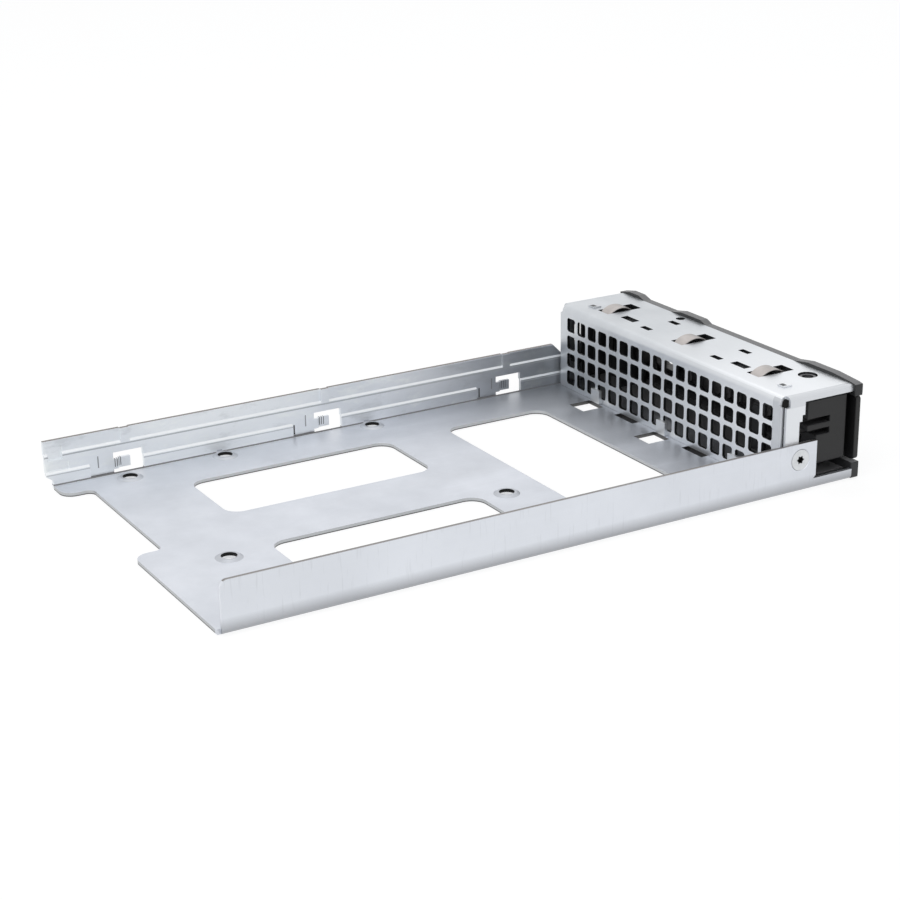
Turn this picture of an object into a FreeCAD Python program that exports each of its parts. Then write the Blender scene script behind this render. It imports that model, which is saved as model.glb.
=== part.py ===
import FreeCAD, Part
import math
import os

import Sketcher

# Hot swap drive caddy: a folded steel tray, a folded steel front cage with a perforated back
# panel, and a moulded front with an ejector lever and a release button.
# Every size is in millimetres. Sub-parts are drawn from the tray's near rear corner at floor
# level: X runs forwards, Y from the near wall to the far wall, Z up. One shared placement then
# puts the origin under the middle of the whole caddy.

SIZES = [
    ("tray_sheet", 1.0, "thickness of the tray's sheet"),
    ("cage_sheet", 0.8, "thickness of the front cage's sheet"),
    ("bend_inside", 0.3, "inner radius of every fold"),
    ("drive_width", 101.6, "width of the 3.5 inch drive that the tray takes"),
    ("drive_slack", 0.7, "slack between that drive and the tray's walls"),
    ("front_edge", 176.9, "rear edge of the floor to the front edge of the sheets"),
    ("wall_height", 12.9, "height of the tray's walls"),
    ("near_wall_rear", 0.8, "rear edge of the near wall"),
    ("near_wall_corner", 1.8, "radius of the near wall's top rear corner"),
    ("wall_front", 165.0, "front end of the tray's walls"),
    ("lip_height", 2.8, "lip of the floor beside the lever"),
    ("rear_overhang", 1.7, "how far the far wall stands behind the floor"),
    ("overhang_level", 3.6, "level above which the far wall stands back"),
    ("overhang_slope", 1.2, "height of the slope under that overhang"),
    ("emboss_step", 0.5, "each sideways step of the far wall"),
    ("lower_ledge", 4.2, "level of the far wall's lower ledge"),
    ("upper_ledge", 9.0, "level of the far wall's upper ledge"),
    ("emboss_end", 157.0, "where the far wall turns flat"),
    ("wall_notch", 3.6, "slope of the far wall's notch at that place"),
    ("window_first", 16.8, "rear edge of the far wall's first window"),
    ("window_pitch", 58.4, "spacing of those windows"),
    ("window_length", 8.2, "length of each window"),
    ("window_top", 6.6, "top of each window"),
    ("flat_behind", 6.6, "plain wall behind each window"),
    ("tongue_reach", 4.9, "tongue's reach into its window"),
    ("tongue_low", 2.0, "lower edge of the tongue"),
    ("tongue_high", 4.8, "upper edge of the tongue"),
    ("tongue_sheet", 0.8, "thickness of the coined tongue"),
    ("tongue_joggle", 0.7, "how far the tongue's tip is pressed outwards"),
    ("bead_break", 2.4, "length of each break in the upper ledge, and its place"),
    ("pocket_front", 3.2, "front edge of the pressed pocket at the far wall's rear end"),
    ("pocket_low", 7.6, "lower edge of that pocket"),
    ("pocket_high", 11.2, "upper edge of that pocket"),
    ("pocket_depth", 0.4, "depth of that pocket and of the lower one"),
    ("low_pocket_front", 4.6, "front edge of the lower pressed pocket"),
    ("low_pocket_top", 7.0, "upper edge of the lower pocket, which starts over the ledge"),
    ("notch_depth", 7.7, "notch in the floor's rear edge"),
    ("notch_near", 49.4, "near side of that notch"),
    ("notch_margin", 7.7, "far side of that notch inside the far wall"),
    ("notch_inner_radius", 2.0, "inner corners of that notch"),
    ("notch_outer_radius", 3.6, "outer corners of that notch"),
    ("bay_rear", 30.5, "rear edge of the two rear floor windows"),
    ("bay_front", 88.6, "front edge of the two rear floor windows"),
    ("bay_near", 13.8, "near edge of the floor windows"),
    ("bay_width", 25.6, "width of the rear floor windows"),
    ("bay_margin", 16.4, "floor windows inside the far wall"),
    ("front_bay_rear", 106.7, "rear edge of the front floor window"),
    ("front_bay_front", 138.1, "front edge of the front floor window"),
    ("bay_corner", 4.2, "corner radius of the floor windows"),
    ("small_drive_x", 57.3, "middle of the 2.5 inch hole pattern along the tray"),
    ("small_drive_inset", 35.9, "middle of the 2.5 inch hole pattern inside the far wall"),
    ("small_spacing_x", 76.6, "2.5 inch drive, bottom holes along its length"),
    ("small_spacing_y", 61.72, "2.5 inch drive, bottom holes across its width"),
    ("large_drive_x", 68.8, "middle of the 3.5 inch hole pattern along the tray"),
    ("large_spacing_x", 44.45, "3.5 inch drive, bottom holes along its length"),
    ("drive_hole_inset", 3.175, "3.5 inch drive, bottom holes inside its sides"),
    ("drive_hole_radius", 2.0, "hole for a drive's screw"),
    ("dimple_top_radius", 2.6, "flat top of the dimple round a screw hole"),
    ("dimple_base_radius", 3.4, "foot of that dimple"),
    ("dimple_height", 0.5, "height of that dimple over the floor"),
    ("hook_pitch", 31.5, "spacing of the floor's upright hooks"),
    ("hook_first", 19.9, "nearest hook's middle"),
    ("hook_width", 3.9, "width of each hook"),
    ("hook_height", 4.9, "height of each hook"),
    ("hook_window_near", 2.4, "near margin of the window that a hook was cut from"),
    ("hook_window_far", 0.8, "far margin of that window"),
    ("hook_reach", 6.8, "length of that window behind the hook"),
    ("seat_pocket_length", 8.8, "length of the pressed pockets between the hooks"),
    ("seat_pocket_width", 2.2, "width of those pockets, up to the panel"),
    ("seat_pocket_depth", 0.7, "depth of those pockets"),
    ("panel_rear", 154.8, "rear face of the perforated panel"),
    ("panel_inset", 1.2, "panel's end inside the cage's side"),
    ("cage_height", 25.3, "top of the cage"),
    ("cage_bend", 1.8, "outer radius of the cage's rear fold"),
    ("floor_gap", 0.05, "gap under the cage's edges"),
    ("vent_margin", 3.325, "panel beside the outermost holes"),
    ("vent_rise", 5.25, "spacing of the holes up the panel"),
    ("vent_width", 4.0, "width of a square hole"),
    ("vent_corner", 0.5, "bevel of a square hole's corners"),
    ("vent_columns", 18, "holes across"),
    ("vent_rows", 4, "holes up"),
    ("vent_first_z", 4.43, "lowest hole's middle"),
    ("strip_rear", 155.5, "rear edge of the cage's side strips"),
    ("strip_front", 159.8, "front edge of those strips"),
    ("foot_front", 164.2, "front edge of a strip's foot, which takes the screw"),
    ("foot_top", 12.6, "top of that foot"),
    ("eave_drop", 1.8, "how far the top plate's sides fold down"),
    ("corner_relief", 1.9, "relief cut at the cage's rear corners"),
    ("stop_front", 161.5, "front edge of the strip's upper lug"),
    ("stop_step", 0.8, "step of that lug"),
    ("stop_low", 18.4, "lower edge of that lug"),
    ("stop_mid", 20.1, "level of its step"),
    ("finger_x", 165.4, "middle of the contact fingers"),
    ("finger_near", 0.1955, "nearest finger across, as a share of the inner width"),
    ("finger_middle", 0.5171, "middle finger across, as such a share"),
    ("finger_far", 0.8602, "farthest finger across, as such a share"),
    ("finger_run", 0.6, "window behind a finger's arch"),
    ("finger_ahead", 2.1, "window ahead of a finger's arch"),
    ("finger_width", 4.4, "width of a finger"),
    ("finger_sheet", 0.2, "thickness of a finger"),
    ("finger_rise", 1.1, "crown of a finger over the top plate"),
    ("finger_span", 8.8, "length of a finger's arch"),
    ("finger_foot", 3.6, "length of a finger's foot under the plate"),
    ("finger_gap", 0.3, "gap beside a finger in its window"),
    ("tab_slot_length", 4.0, "length of the small slots in the top plate"),
    ("tab_slot_width", 1.8, "width of the small slots"),
    ("tab_slot_near", 0.3587, "nearer pair of small slots, as such a share"),
    ("tab_slot_far", 0.6686, "farther pair of small slots, as such a share"),
    ("tab_slot_rear", 161.6, "rear small slots"),
    ("tab_slot_front", 171.1, "front small slots"),
    ("wide_slot_length", 6.0, "length of the wide slots"),
    ("wide_slot_width", 2.4, "width of the wide slots"),
    ("wide_slot_near", 0.2747, "nearer wide slot, as such a share"),
    ("wide_slot_far", 0.7644, "farther wide slot, as such a share"),
    ("wide_slot_x", 162.9, "wide slots along the plate"),
    ("round_hole_x", 175.0, "small round hole in the top plate"),
    ("round_hole_y", 0.6921, "small round hole across, as such a share"),
    ("round_hole_radius", 1.3, "radius of that hole"),
    ("louvre_x", 161.6, "two small louvres near the top plate's rear corners"),
    ("louvre_inset", 8.55, "louvres inside the walls"),
    ("louvre_length", 2.6, "length of a louvre"),
    ("louvre_width", 2.6, "width of a louvre"),
    ("louvre_lift", 0.4, "lift of a louvre"),
    ("pivot_x", 172.2, "lever's pivot along the caddy"),
    ("pivot_y", 13.3, "lever's pivot across the caddy"),
    ("pin_radius", 2.5, "pivot pin"),
    ("pin_clearance", 0.05, "running clearance of the pin"),
    ("pin_recess", 0.4, "pin's ends under the outer faces"),
    ("pin_dimple", 1.5, "radius of the sunk ends of the pin"),
    ("pin_dimple_depth", 1.2, "depth of those ends"),
    ("front_depth", 3.0, "moulded front ahead of the sheets"),
    ("front_near", 0.3, "near end of the moulded front"),
    ("front_reach", 0.7, "far end of the moulded front beyond the far wall's inner face"),
    ("front_low", 0.2, "lower edge of the moulded front"),
    ("top_beam", 3.0, "height of the front's top beam"),
    ("bottom_beam", 4.2, "height of the front's bottom beam"),
    ("far_rim", 1.6, "width of the front's far rim"),
    ("bump_height", 0.9, "height of the bumps on the top beam"),
    ("far_bump_top", 4.4, "far bump, where its ramp ends, from the front's far end"),
    ("far_bump_drop", 9.0, "far bump, where it falls, from that end"),
    ("far_bump_foot", 12.0, "far bump, foot of its near side, from that end"),
    ("middle_bump_foot", 26.8, "middle bump, foot of its ramp, from the caddy's middle"),
    ("middle_bump_top", 22.2, "middle bump, where its ramp ends, from the middle"),
    ("middle_bump_drop", 13.0, "middle bump, where it falls, from the middle"),
    ("middle_bump_end", 10.8, "middle bump, foot of its near side, from the middle"),
    ("near_bump_foot", 24.8, "near bump, foot of its ramp"),
    ("near_bump_top", 19.2, "near bump, where its ramp ends"),
    ("near_bump_drop", 9.3, "near bump, where it starts to fall"),
    ("near_bump_end", 1.7, "near bump, end of its gentle fall"),
    ("near_bump_rest", 0.3, "what is left of its height there"),
    ("shelf_rear", 164.0, "rear edge of the front's inner shelves"),
    ("shelf_sheet", 1.2, "thickness of those shelves"),
    ("shelf_margin", 2.2, "shelves inside the cage's sides"),
    ("finger_bay", 3.4, "half width of the shelf's recess round a finger"),
    ("part_gap", 0.4, "gap round the moving parts"),
    ("lever_face", 0.5, "front of the lever behind the front's face"),
    ("lever_sheet", 1.4, "thickness of the lever's front plate"),
    ("lever_near", 0.9, "near end of the lever"),
    ("button_gap", 0.9, "gap between the lever's far end and the button"),
    ("lever_flange", 3.0, "depth of the flanges along the lever"),
    ("lever_corner", 1.0, "corner radius of the lever's front plate"),
    ("flange_sheet", 1.4, "thickness of those flanges"),
    ("hub_radius", 4.5, "lever's hub round the pin"),
    ("hub_rear", 163.0, "rear face of the hub's upper block"),
    ("hub_low_rear", 166.0, "rear face of the hub's lower block"),
    ("hub_far", 12.0, "far side of the hub's block"),
    ("hub_side", 1.8, "near face of the hub's block"),
    ("hub_near_wall", 5.8, "depth of the block's wall beside the spring"),
    ("slot_depth", 3.0, "depth of the moulded slots in the hub's side"),
    ("side_slot_height", 1.7, "height of those slots"),
    ("side_slot_front", 170.3, "front end of those slots"),
    ("side_slot_low", 13.4, "lower slot's lower edge"),
    ("side_slot_step", 3.1, "from the lower slot to the upper one"),
    ("side_groove", 2.5, "groove between the hub's block and the front plate"),
    ("block_low", 5.9, "underside of the hub's block"),
    ("hex_margin", 4.4, "web between the last hexagonal vent and the finger opening"),
    ("vent_web", 0.8, "web between hexagonal vents"),
    ("hex_clear", 0.4, "web between the hub and the first hexagonal vent"),
    ("hex_columns", 12, "hexagonal vents in a row"),
    ("grip_margin", 2.9, "finger opening inside the lever's far end"),
    ("grip_width", 9.0, "width of the finger opening"),
    ("grip_height", 9.4, "height of the finger opening"),
    ("grip_corner", 2.0, "corner radius of the finger opening"),
    ("catch_sheet", 1.6, "thickness of the lever's catch arm"),
    ("catch_depth", 8.0, "length of that arm behind the plate"),
    ("catch_height", 9.0, "height of that arm"),
    ("catch_barb", 0.7, "barb at that arm's end"),
    ("spring_wire", 0.7, "wire of the lever's spring"),
    ("spring_radius", 3.5, "mean radius of the lever's spring"),
    ("spring_turns", 3.5, "turns of the lever's spring"),
    ("spring_leg", 13.0, "length of that spring's legs"),
    ("leg_gap", 0.05, "gap between a leg and what it rests on"),
    ("spring_level", 10.0, "underside of that spring"),
    ("spring_pitch", 0.74, "pitch of that spring"),
    ("spring_gap", 0.3, "gap above and below that spring"),
    ("post_far", 27.4, "far side of the post that holds the spring's fixed leg"),
    ("post_length", 3.4, "length of that post"),
    ("post_width", 2.4, "width of that post"),
    ("seat_rib_length", 5.0, "length of the lever's rib that the spring pushes on"),
    ("button_width", 14.6, "width of the release button"),
    ("button_sheet", 2.0, "thickness of the button's face"),
    ("button_ridge", 0.6, "depth of the button's grooves"),
    ("button_travel", 2.0, "travel of the button"),
    ("stem_radius", 3.0, "button's stem"),
    ("stem_clearance", 0.08, "running clearance of the stem"),
    ("collar_radius", 3.8, "snap collar at the stem's end"),
    ("collar_length", 1.8, "length of that collar"),
    ("collar_slit", 0.9, "slit that lets the collar snap through"),
    ("slit_depth", 2.0, "slit beyond the collar"),
    ("collar_gap", 0.1, "gap behind the housing's cross wall"),
    ("house_wall", 1.3, "walls of the button's housing"),
    ("house_inset", 0.2, "housing inside the button's near edge"),
    ("house_rear", 170.0, "rear face of the housing's cross wall"),
    ("house_gap", 0.6, "housing's side walls behind the pressed button"),
    ("house_back", 166.0, "rear end of the housing's side walls"),
    ("button_wire", 0.6, "wire of the button's spring"),
    ("button_coil", 3.7, "mean radius of the button's spring"),
    ("button_turns", 4, "turns of the button's spring"),
    ("button_corner", 0.8, "corner radius of the button's face"),
    ("groove_pitch", 2.8, "spacing of the button's grooves"),
    ("groove_width", 1.1, "width of the button's grooves"),
    ("groove_margin", 2.2, "grooves inside the button's ends"),
    ("screw_x", 159.9, "side screws along the caddy"),
    ("screw_z", 8.6, "side screws above the floor"),
    ("screw_head", 2.75, "head radius of a side screw"),
    ("head_depth", 0.85, "depth of that head"),
    ("head_sunk", 0.1, "head's face under the wall's outer face"),
    ("screw_shank", 1.5, "shank radius of a side screw"),
    ("screw_length", 4.5, "length of a side screw"),
    ("screw_sink", 0.2, "countersink wider than the screw's head"),
    ("screw_slack", 0.05, "gap round a side screw's shank"),
    ("screw_socket", 1.2, "reach of the points of a side screw's socket"),
    ("socket_core", 0.8, "radius of that socket between its points"),
    ("socket_depth", 0.9, "depth of the socket"),
    ("edge_bevel", 0.6, "bevel of the moulded front's edges"),
    ("cheek_rear", 161.8, "rear edge of the front's far cheek"),
    ("cheek_sheet", 0.7, "thickness of that cheek"),
    ("cheek_gap", 0.1, "gap between that cheek and the cage's strip"),
]


class Size:
    """A number together with the spreadsheet formula that gives it."""

    def __init__(self, number, formula):
        self.number = float(number)
        self.formula = formula

    def __add__(self, other):
        other = as_size(other)
        return Size(self.number + other.number, f"({self.formula} + {other.formula})")

    def __radd__(self, other):
        return as_size(other) + self

    def __sub__(self, other):
        other = as_size(other)
        return Size(self.number - other.number, f"({self.formula} - {other.formula})")

    def __rsub__(self, other):
        return as_size(other) - self

    def __mul__(self, other):
        other = as_size(other)
        return Size(self.number * other.number, f"({self.formula} * {other.formula})")

    def __rmul__(self, other):
        return as_size(other) * self

    def __truediv__(self, other):
        other = as_size(other)
        return Size(self.number / other.number, f"({self.formula} / {other.formula})")

    def __neg__(self):
        return Size(-self.number, f"(-{self.formula})")


def as_size(value):
    return value if isinstance(value, Size) else Size(value, f"({value!r})")


def fill_sheet(doc):
    """Writes the sizes into the spreadsheet and returns them by name."""
    sheet = doc.addObject("Spreadsheet::Sheet", "Sizes")
    named = {}
    for row, (name, value, meaning) in enumerate(SIZES, start=1):
        sheet.set(f"A{row}", meaning)
        sheet.set(f"B{row}", str(value))
        sheet.setAlias(f"B{row}", name)
        named[name] = Size(value, f"Sizes.{name}")
    doc.recompute()
    return named


DOC = FreeCAD.newDocument("Caddy")
S = fill_sheet(DOC)
CUTS = []

# Derived places that several sub-parts share
NEAR_FACE = S["tray_sheet"]
INNER_WIDTH = S["drive_width"] + S["drive_slack"]
FAR_FACE = S["tray_sheet"] + INNER_WIDTH
MIDDLE = S["tray_sheet"] + INNER_WIDTH / 2
FLOOR = S["tray_sheet"]
BEND = S["bend_inside"] + S["tray_sheet"]
CAGE_FOOT = FLOOR + S["floor_gap"]
STRIP_FOOT = CAGE_FOOT + S["bend_inside"]
PLATE_UNDER = S["cage_height"] - S["cage_sheet"]
PANEL_FRONT = S["panel_rear"] + S["cage_sheet"]
FRONT_FACE = S["front_edge"] + S["front_depth"]
OVERALL_FAR = FAR_FACE + S["tray_sheet"] + 2 * S["emboss_step"]
LEVER_FRONT = FRONT_FACE - S["lever_face"]
LEVER_BACK = LEVER_FRONT - S["lever_sheet"]
LEVER_LOW = S["front_low"] + S["bottom_beam"] + S["part_gap"]
LEVER_HIGH = S["cage_height"] - S["top_beam"] - S["part_gap"]
LEVER_MIDDLE = (LEVER_LOW + LEVER_HIGH) / 2
SHELF_TOP = FLOOR + S["shelf_sheet"]
SHELF_UNDER = PLATE_UNDER - S["shelf_sheet"]
HUB_LOW = SHELF_TOP + S["part_gap"]
HUB_HIGH = SHELF_UNDER - S["part_gap"]
FRONT_FAR = FAR_FACE + S["front_reach"]
BUTTON_FAR = FRONT_FAR - S["far_rim"] - S["part_gap"]
BUTTON_NEAR = BUTTON_FAR - S["button_width"]
BUTTON_MIDDLE = BUTTON_FAR - S["button_width"] / 2
LEVER_TIP = BUTTON_NEAR - S["button_gap"]
GRIP_FAR = LEVER_TIP - S["grip_margin"]
GRIP_NEAR = GRIP_FAR - S["grip_width"]
HEX_START = S["pivot_y"] + S["hub_radius"] + S["hex_clear"]
HEX_PITCH = (GRIP_NEAR - S["hex_margin"] - HEX_START + S["vent_web"]) / S["hex_columns"]
HEX_WIDTH = HEX_PITCH - S["vent_web"]
BUTTON_BACK = LEVER_FRONT - S["button_sheet"]
HOUSE_FRONT = S["house_rear"] + S["house_wall"]
SPRING_TOP = S["spring_level"] + S["spring_turns"] * S["spring_pitch"] + S["spring_wire"]
COIL_LOW = S["spring_level"] - S["spring_gap"]
COIL_HIGH = SPRING_TOP + S["spring_gap"]
PANEL_NEAR = NEAR_FACE + S["panel_inset"]
PANEL_FAR = FAR_FACE - S["panel_inset"]
EAVE_REAR = S["panel_rear"] + S["corner_relief"]
EAVE_FOOT = S["cage_height"] - S["eave_drop"]
RELIEF_LEVEL = EAVE_FOOT - 0.8


def across(share):
    """A place between the walls, given as a share of the inner width."""
    return NEAR_FACE + INNER_WIDTH * S[share]


FINGERS = (across("finger_near"), across("finger_middle"), across("finger_far"))
FINGER_REAR = S["finger_x"] - S["finger_span"] / 2 - S["finger_run"]
FINGER_FRONT = S["finger_x"] + S["finger_span"] / 2 + S["finger_ahead"]
TAB_SLOTS = (across("tab_slot_near"), across("tab_slot_far"))
WIDE_SLOTS = (across("wide_slot_near"), across("wide_slot_far"))


def bind(thing, prop, value):
    """Ties a property to its formula in the spreadsheet."""
    thing.setExpression(prop, as_size(value).formula)


def origin_plane(body, role):
    return next(item for item in body.Origin.OriginFeatures if item.Role == role)


def new_body(label, place=(0, 0, 0)):
    """A body whose own origin is the tray's near rear corner, moved by the place given."""
    body = DOC.addObject("PartDesign::Body", label)
    body.Label = label
    settle(body, place)
    return body


def settle(thing, place=(0, 0, 0)):
    shift = (-(FRONT_FACE - S["rear_overhang"]) / 2, -OVERALL_FAR / 2, as_size(0))
    for axis, offset, start in zip("xyz", place, shift):
        bind(thing, f"Placement.Base.{axis}", start + offset)


class Drawing:
    """A sketch on one of its body's own planes, dimensioned from the body's origin.

    plane is XY, XZ or YZ, level is where the plane lies on its third axis, and origin is the
    place on the plane that the drawing is measured from.
    """

    def __init__(self, body, name, plane, level=0, origin=(0, 0)):
        self.plane = plane
        self.sketch = body.newObject("Sketcher::SketchObject", name)
        self.sketch.AttachmentSupport = (origin_plane(body, f"{plane}_Plane"), "")
        self.sketch.MapMode = "FlatFace"
        level = as_size(level)
        bind(self.sketch, "AttachmentOffset.Base.x", origin[0])
        bind(self.sketch, "AttachmentOffset.Base.y", origin[1])
        bind(self.sketch, "AttachmentOffset.Base.z", -level if plane == "XZ" else level)

    def limit(self, kind, places, value):
        value = as_size(value)
        index = self.sketch.addConstraint(Sketcher.Constraint(kind, *places, value.number))
        self.sketch.setExpression(f"Constraints[{index}]", value.formula)

    def pin(self, geometry, end, x, y):
        self.limit("DistanceX", (-1, 1, geometry, end), x)
        self.limit("DistanceY", (-1, 1, geometry, end), y)

    def line(self, start, end):
        points = [FreeCAD.Vector(as_size(x).number, as_size(y).number, 0) for x, y in (start, end)]
        return self.sketch.addGeometry(Part.LineSegment(*points), False)

    def polygon(self, corners):
        """A closed outline of corners (x, y) or (x, y, radius), a rounded one between edges
        that run along the sketch's own axes."""
        corners = [tuple(as_size(value) for value in corner) for corner in corners]
        stops = [corner_stops(corners, index) for index in range(len(corners))]
        lines = []
        for index, stop in enumerate(stops):
            following = stops[(index + 1) % len(stops)]
            lines.append(self.line(stop[-1], following[0]))
        for index, stop in enumerate(stops):
            before, after = lines[index - 1], lines[index]
            self.pin(after, 1, *stop[-1])
            if len(stop) == 1:
                self.sketch.addConstraint(Sketcher.Constraint("Coincident", before, 2, after, 1))
                continue
            self.pin(before, 2, *stop[0])
            self.corner_arc(before, after, stop, corners[index][2])
        return self

    def corner_arc(self, before, after, stop, radius):
        first, middle, last = (FreeCAD.Vector(x.number, y.number, 0) for x, y in stop)
        arc = self.sketch.addGeometry(Part.Arc(first, middle, last), False)
        ends = [self.sketch.getPoint(arc, 1), self.sketch.getPoint(arc, 2)]
        start = 1 if ends[0].distanceToPoint(first) < ends[1].distanceToPoint(first) else 2
        self.sketch.addConstraint(Sketcher.Constraint("Coincident", before, 2, arc, start))
        self.sketch.addConstraint(Sketcher.Constraint("Coincident", after, 1, arc, 3 - start))
        self.limit("Radius", (arc,), radius)

    def rectangle(self, left, bottom, right, top, radius=None):
        corners = [(left, bottom), (right, bottom), (right, top), (left, top)]
        if radius is not None:
            corners = [(x, y, radius) for x, y in corners]
        return self.polygon(corners)

    def circle(self, x, y, radius):
        x, y, radius = as_size(x), as_size(y), as_size(radius)
        centre = FreeCAD.Vector(x.number, y.number, 0)
        ring = Part.Circle(centre, FreeCAD.Vector(0, 0, 1), radius.number)
        index = self.sketch.addGeometry(ring, False)
        self.pin(index, 3, x, y)
        self.limit("Radius", (index,), radius)
        return self


def corner_stops(corners, index):
    """The corner itself, or where its arc starts, passes and ends."""
    corner = corners[index]
    if len(corner) == 2:
        return [corner]
    x, y, radius = corner
    before, after = corners[index - 1], corners[(index + 1) % len(corners)]
    back = unit_step(corner, before)
    ahead = unit_step(corner, after)
    inset = 1 - math.sqrt(0.5)
    start = (x + back[0] * radius, y + back[1] * radius)
    end = (x + ahead[0] * radius, y + ahead[1] * radius)
    bulge = (x + (back[0] + ahead[0]) * inset * radius, y + (back[1] + ahead[1]) * inset * radius)
    return [start, bulge, end]


def unit_step(start, end):
    """The direction of an edge that runs along one of the sketch's axes."""
    across = end[0].number - start[0].number
    along = end[1].number - start[1].number
    if abs(across) > abs(along):
        return (math.copysign(1, across), 0)
    return (0, math.copysign(1, along))


def pad(body, drawing, length, back=False):
    """Material from the drawing's plane along its third axis, or back against that axis."""
    feature = body.newObject("PartDesign::Pad", f"{drawing.sketch.Name}Pad")
    feature.Profile = drawing.sketch
    bind(feature, "Length", length)
    feature.Reversed = (drawing.plane == "XZ") != back
    body.Tip = feature
    return feature


def pocket(body, drawing, length, back=False):
    """A cut from the drawing's plane along its third axis, or back against that axis."""
    feature = body.newObject("PartDesign::Pocket", f"{drawing.sketch.Name}Cut")
    feature.Profile = drawing.sketch
    bind(feature, "Length", length)
    feature.Reversed = (drawing.plane != "XZ") != back
    body.Tip = feature
    CUTS.append(feature)
    return feature


def block(body, name, low, high):
    """A plain block between two corners."""
    drawing = Drawing(body, name, "XY", low[2]).rectangle(low[0], low[1], high[0], high[1])
    return pad(body, drawing, as_size(high[2]) - low[2])


def revolve(body, drawing, groove=False, axis="V_Axis", angle=None):
    """Turns the drawing about one of its own axes: a full turn, or an angle centred on it."""
    kind = "Groove" if groove else "Revolution"
    feature = body.newObject(f"PartDesign::{kind}", f"{drawing.sketch.Name}{kind}")
    feature.Profile = drawing.sketch
    feature.ReferenceAxis = (drawing.sketch, [axis])
    if angle is None:
        feature.Angle = 360
    else:
        feature.Midplane = True
        bind(feature, "Angle", angle)
    body.Tip = feature
    if groove:
        CUTS.append(feature)
    return feature


def row(body, feature, drawing, axis, pitch, count, back=False):
    """Repeats a feature along one of its drawing's axes."""
    pattern = body.newObject("PartDesign::LinearPattern", f"{feature.Name}Row")
    pattern.Originals = [feature]
    spread(pattern, drawing, axis, pitch, count)
    pattern.Reversed = back
    body.Tip = pattern
    return pattern


def grid(body, feature, drawing, across, up):
    """Repeats a feature across and up its drawing; each is a pitch and a count."""
    pattern = body.newObject("PartDesign::MultiTransform", f"{feature.Name}Grid")
    pattern.Originals = [feature]
    steps = []
    for axis, (pitch, count) in (("H_Axis", across), ("V_Axis", up)):
        step = body.newObject("PartDesign::LinearPattern", f"{feature.Name}{axis[0]}")
        spread(step, drawing, axis, pitch, count)
        steps.append(step)
    pattern.Transformations = steps
    body.Tip = pattern
    return pattern


def spread(pattern, drawing, axis, pitch, count):
    pattern.Direction = (drawing.sketch, [axis])
    pattern.Mode = "Spacing"
    bind(pattern, "Offset", pitch)
    bind(pattern, "Occurrences", count)


def taper(feature, run, rise):
    """Slopes a pad's or pocket's sides by so much run over so much rise."""
    run, rise = as_size(run), as_size(rise)
    slope = math.degrees(math.atan2(run.number, rise.number))
    bind(feature, "TaperAngle", Size(slope, f"atan({run.formula} / {rise.formula})"))
    return feature


# Tray


def tray_channel(body):
    """Floor and both walls as one folded section; the far wall steps outwards on its way up."""
    sheet, step = S["tray_sheet"], S["emboss_step"]
    low, high = S["lower_ledge"], S["upper_ledge"]
    inner = [
        (FAR_FACE, low),
        (FAR_FACE + step, low + step),
        (FAR_FACE + step, high),
        (FAR_FACE + 2 * step, high + step),
        (FAR_FACE + 2 * step, S["wall_height"]),
    ]
    outer = [(y + sheet, z) for y, z in reversed(inner)]
    corners = [
        (0, 0, BEND),
        (0, S["wall_height"]),
        (NEAR_FACE, S["wall_height"]),
        (NEAR_FACE, FLOOR, S["bend_inside"]),
        (FAR_FACE, FLOOR, S["bend_inside"]),
        *inner,
        *outer,
        (FAR_FACE + sheet, 0, BEND),
    ]
    drawing = Drawing(body, "Channel", "YZ", -S["rear_overhang"]).polygon(corners)
    pad(body, drawing, S["front_edge"] + S["rear_overhang"])


def tray_rear(body):
    """Rear edges: floor notch, near wall's rounded end, far wall's overhang."""
    behind = -S["rear_overhang"] - 1
    inner, outer = S["notch_inner_radius"], S["notch_outer_radius"]
    slope_foot = S["overhang_level"] - S["overhang_slope"]
    notch_far = FAR_FACE - S["notch_margin"]
    notch = Drawing(body, "FloorNotch", "XY", -1)
    notch.polygon(
        [
            (behind, NEAR_FACE),
            (0, NEAR_FACE),
            (0, S["notch_near"], outer),
            (S["notch_depth"], S["notch_near"], inner),
            (S["notch_depth"], notch_far, inner),
            (0, notch_far, outer),
            (0, OVERALL_FAR + 1),
            (behind, OVERALL_FAR + 1),
        ]
    )
    pocket(body, notch, 1 + slope_foot)
    rear, radius = S["near_wall_rear"], S["near_wall_corner"]
    near = Drawing(body, "NearWallEnd", "XZ", -1)
    near.polygon(
        [
            (behind, -1),
            (rear, -1),
            (rear, S["wall_height"], radius),
            (rear + 2 * radius, S["wall_height"]),
            (rear + 2 * radius, S["wall_height"] + 1),
            (behind, S["wall_height"] + 1),
        ]
    )
    pocket(body, near, 1 + NEAR_FACE)
    slope = Drawing(body, "OverhangSlope", "XZ", MIDDLE)
    slope.polygon(
        [
            (behind, S["overhang_level"]),
            (-S["rear_overhang"], S["overhang_level"]),
            (0, slope_foot),
            (behind, 0),
        ]
    )
    pocket(body, slope, INNER_WIDTH)


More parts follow.
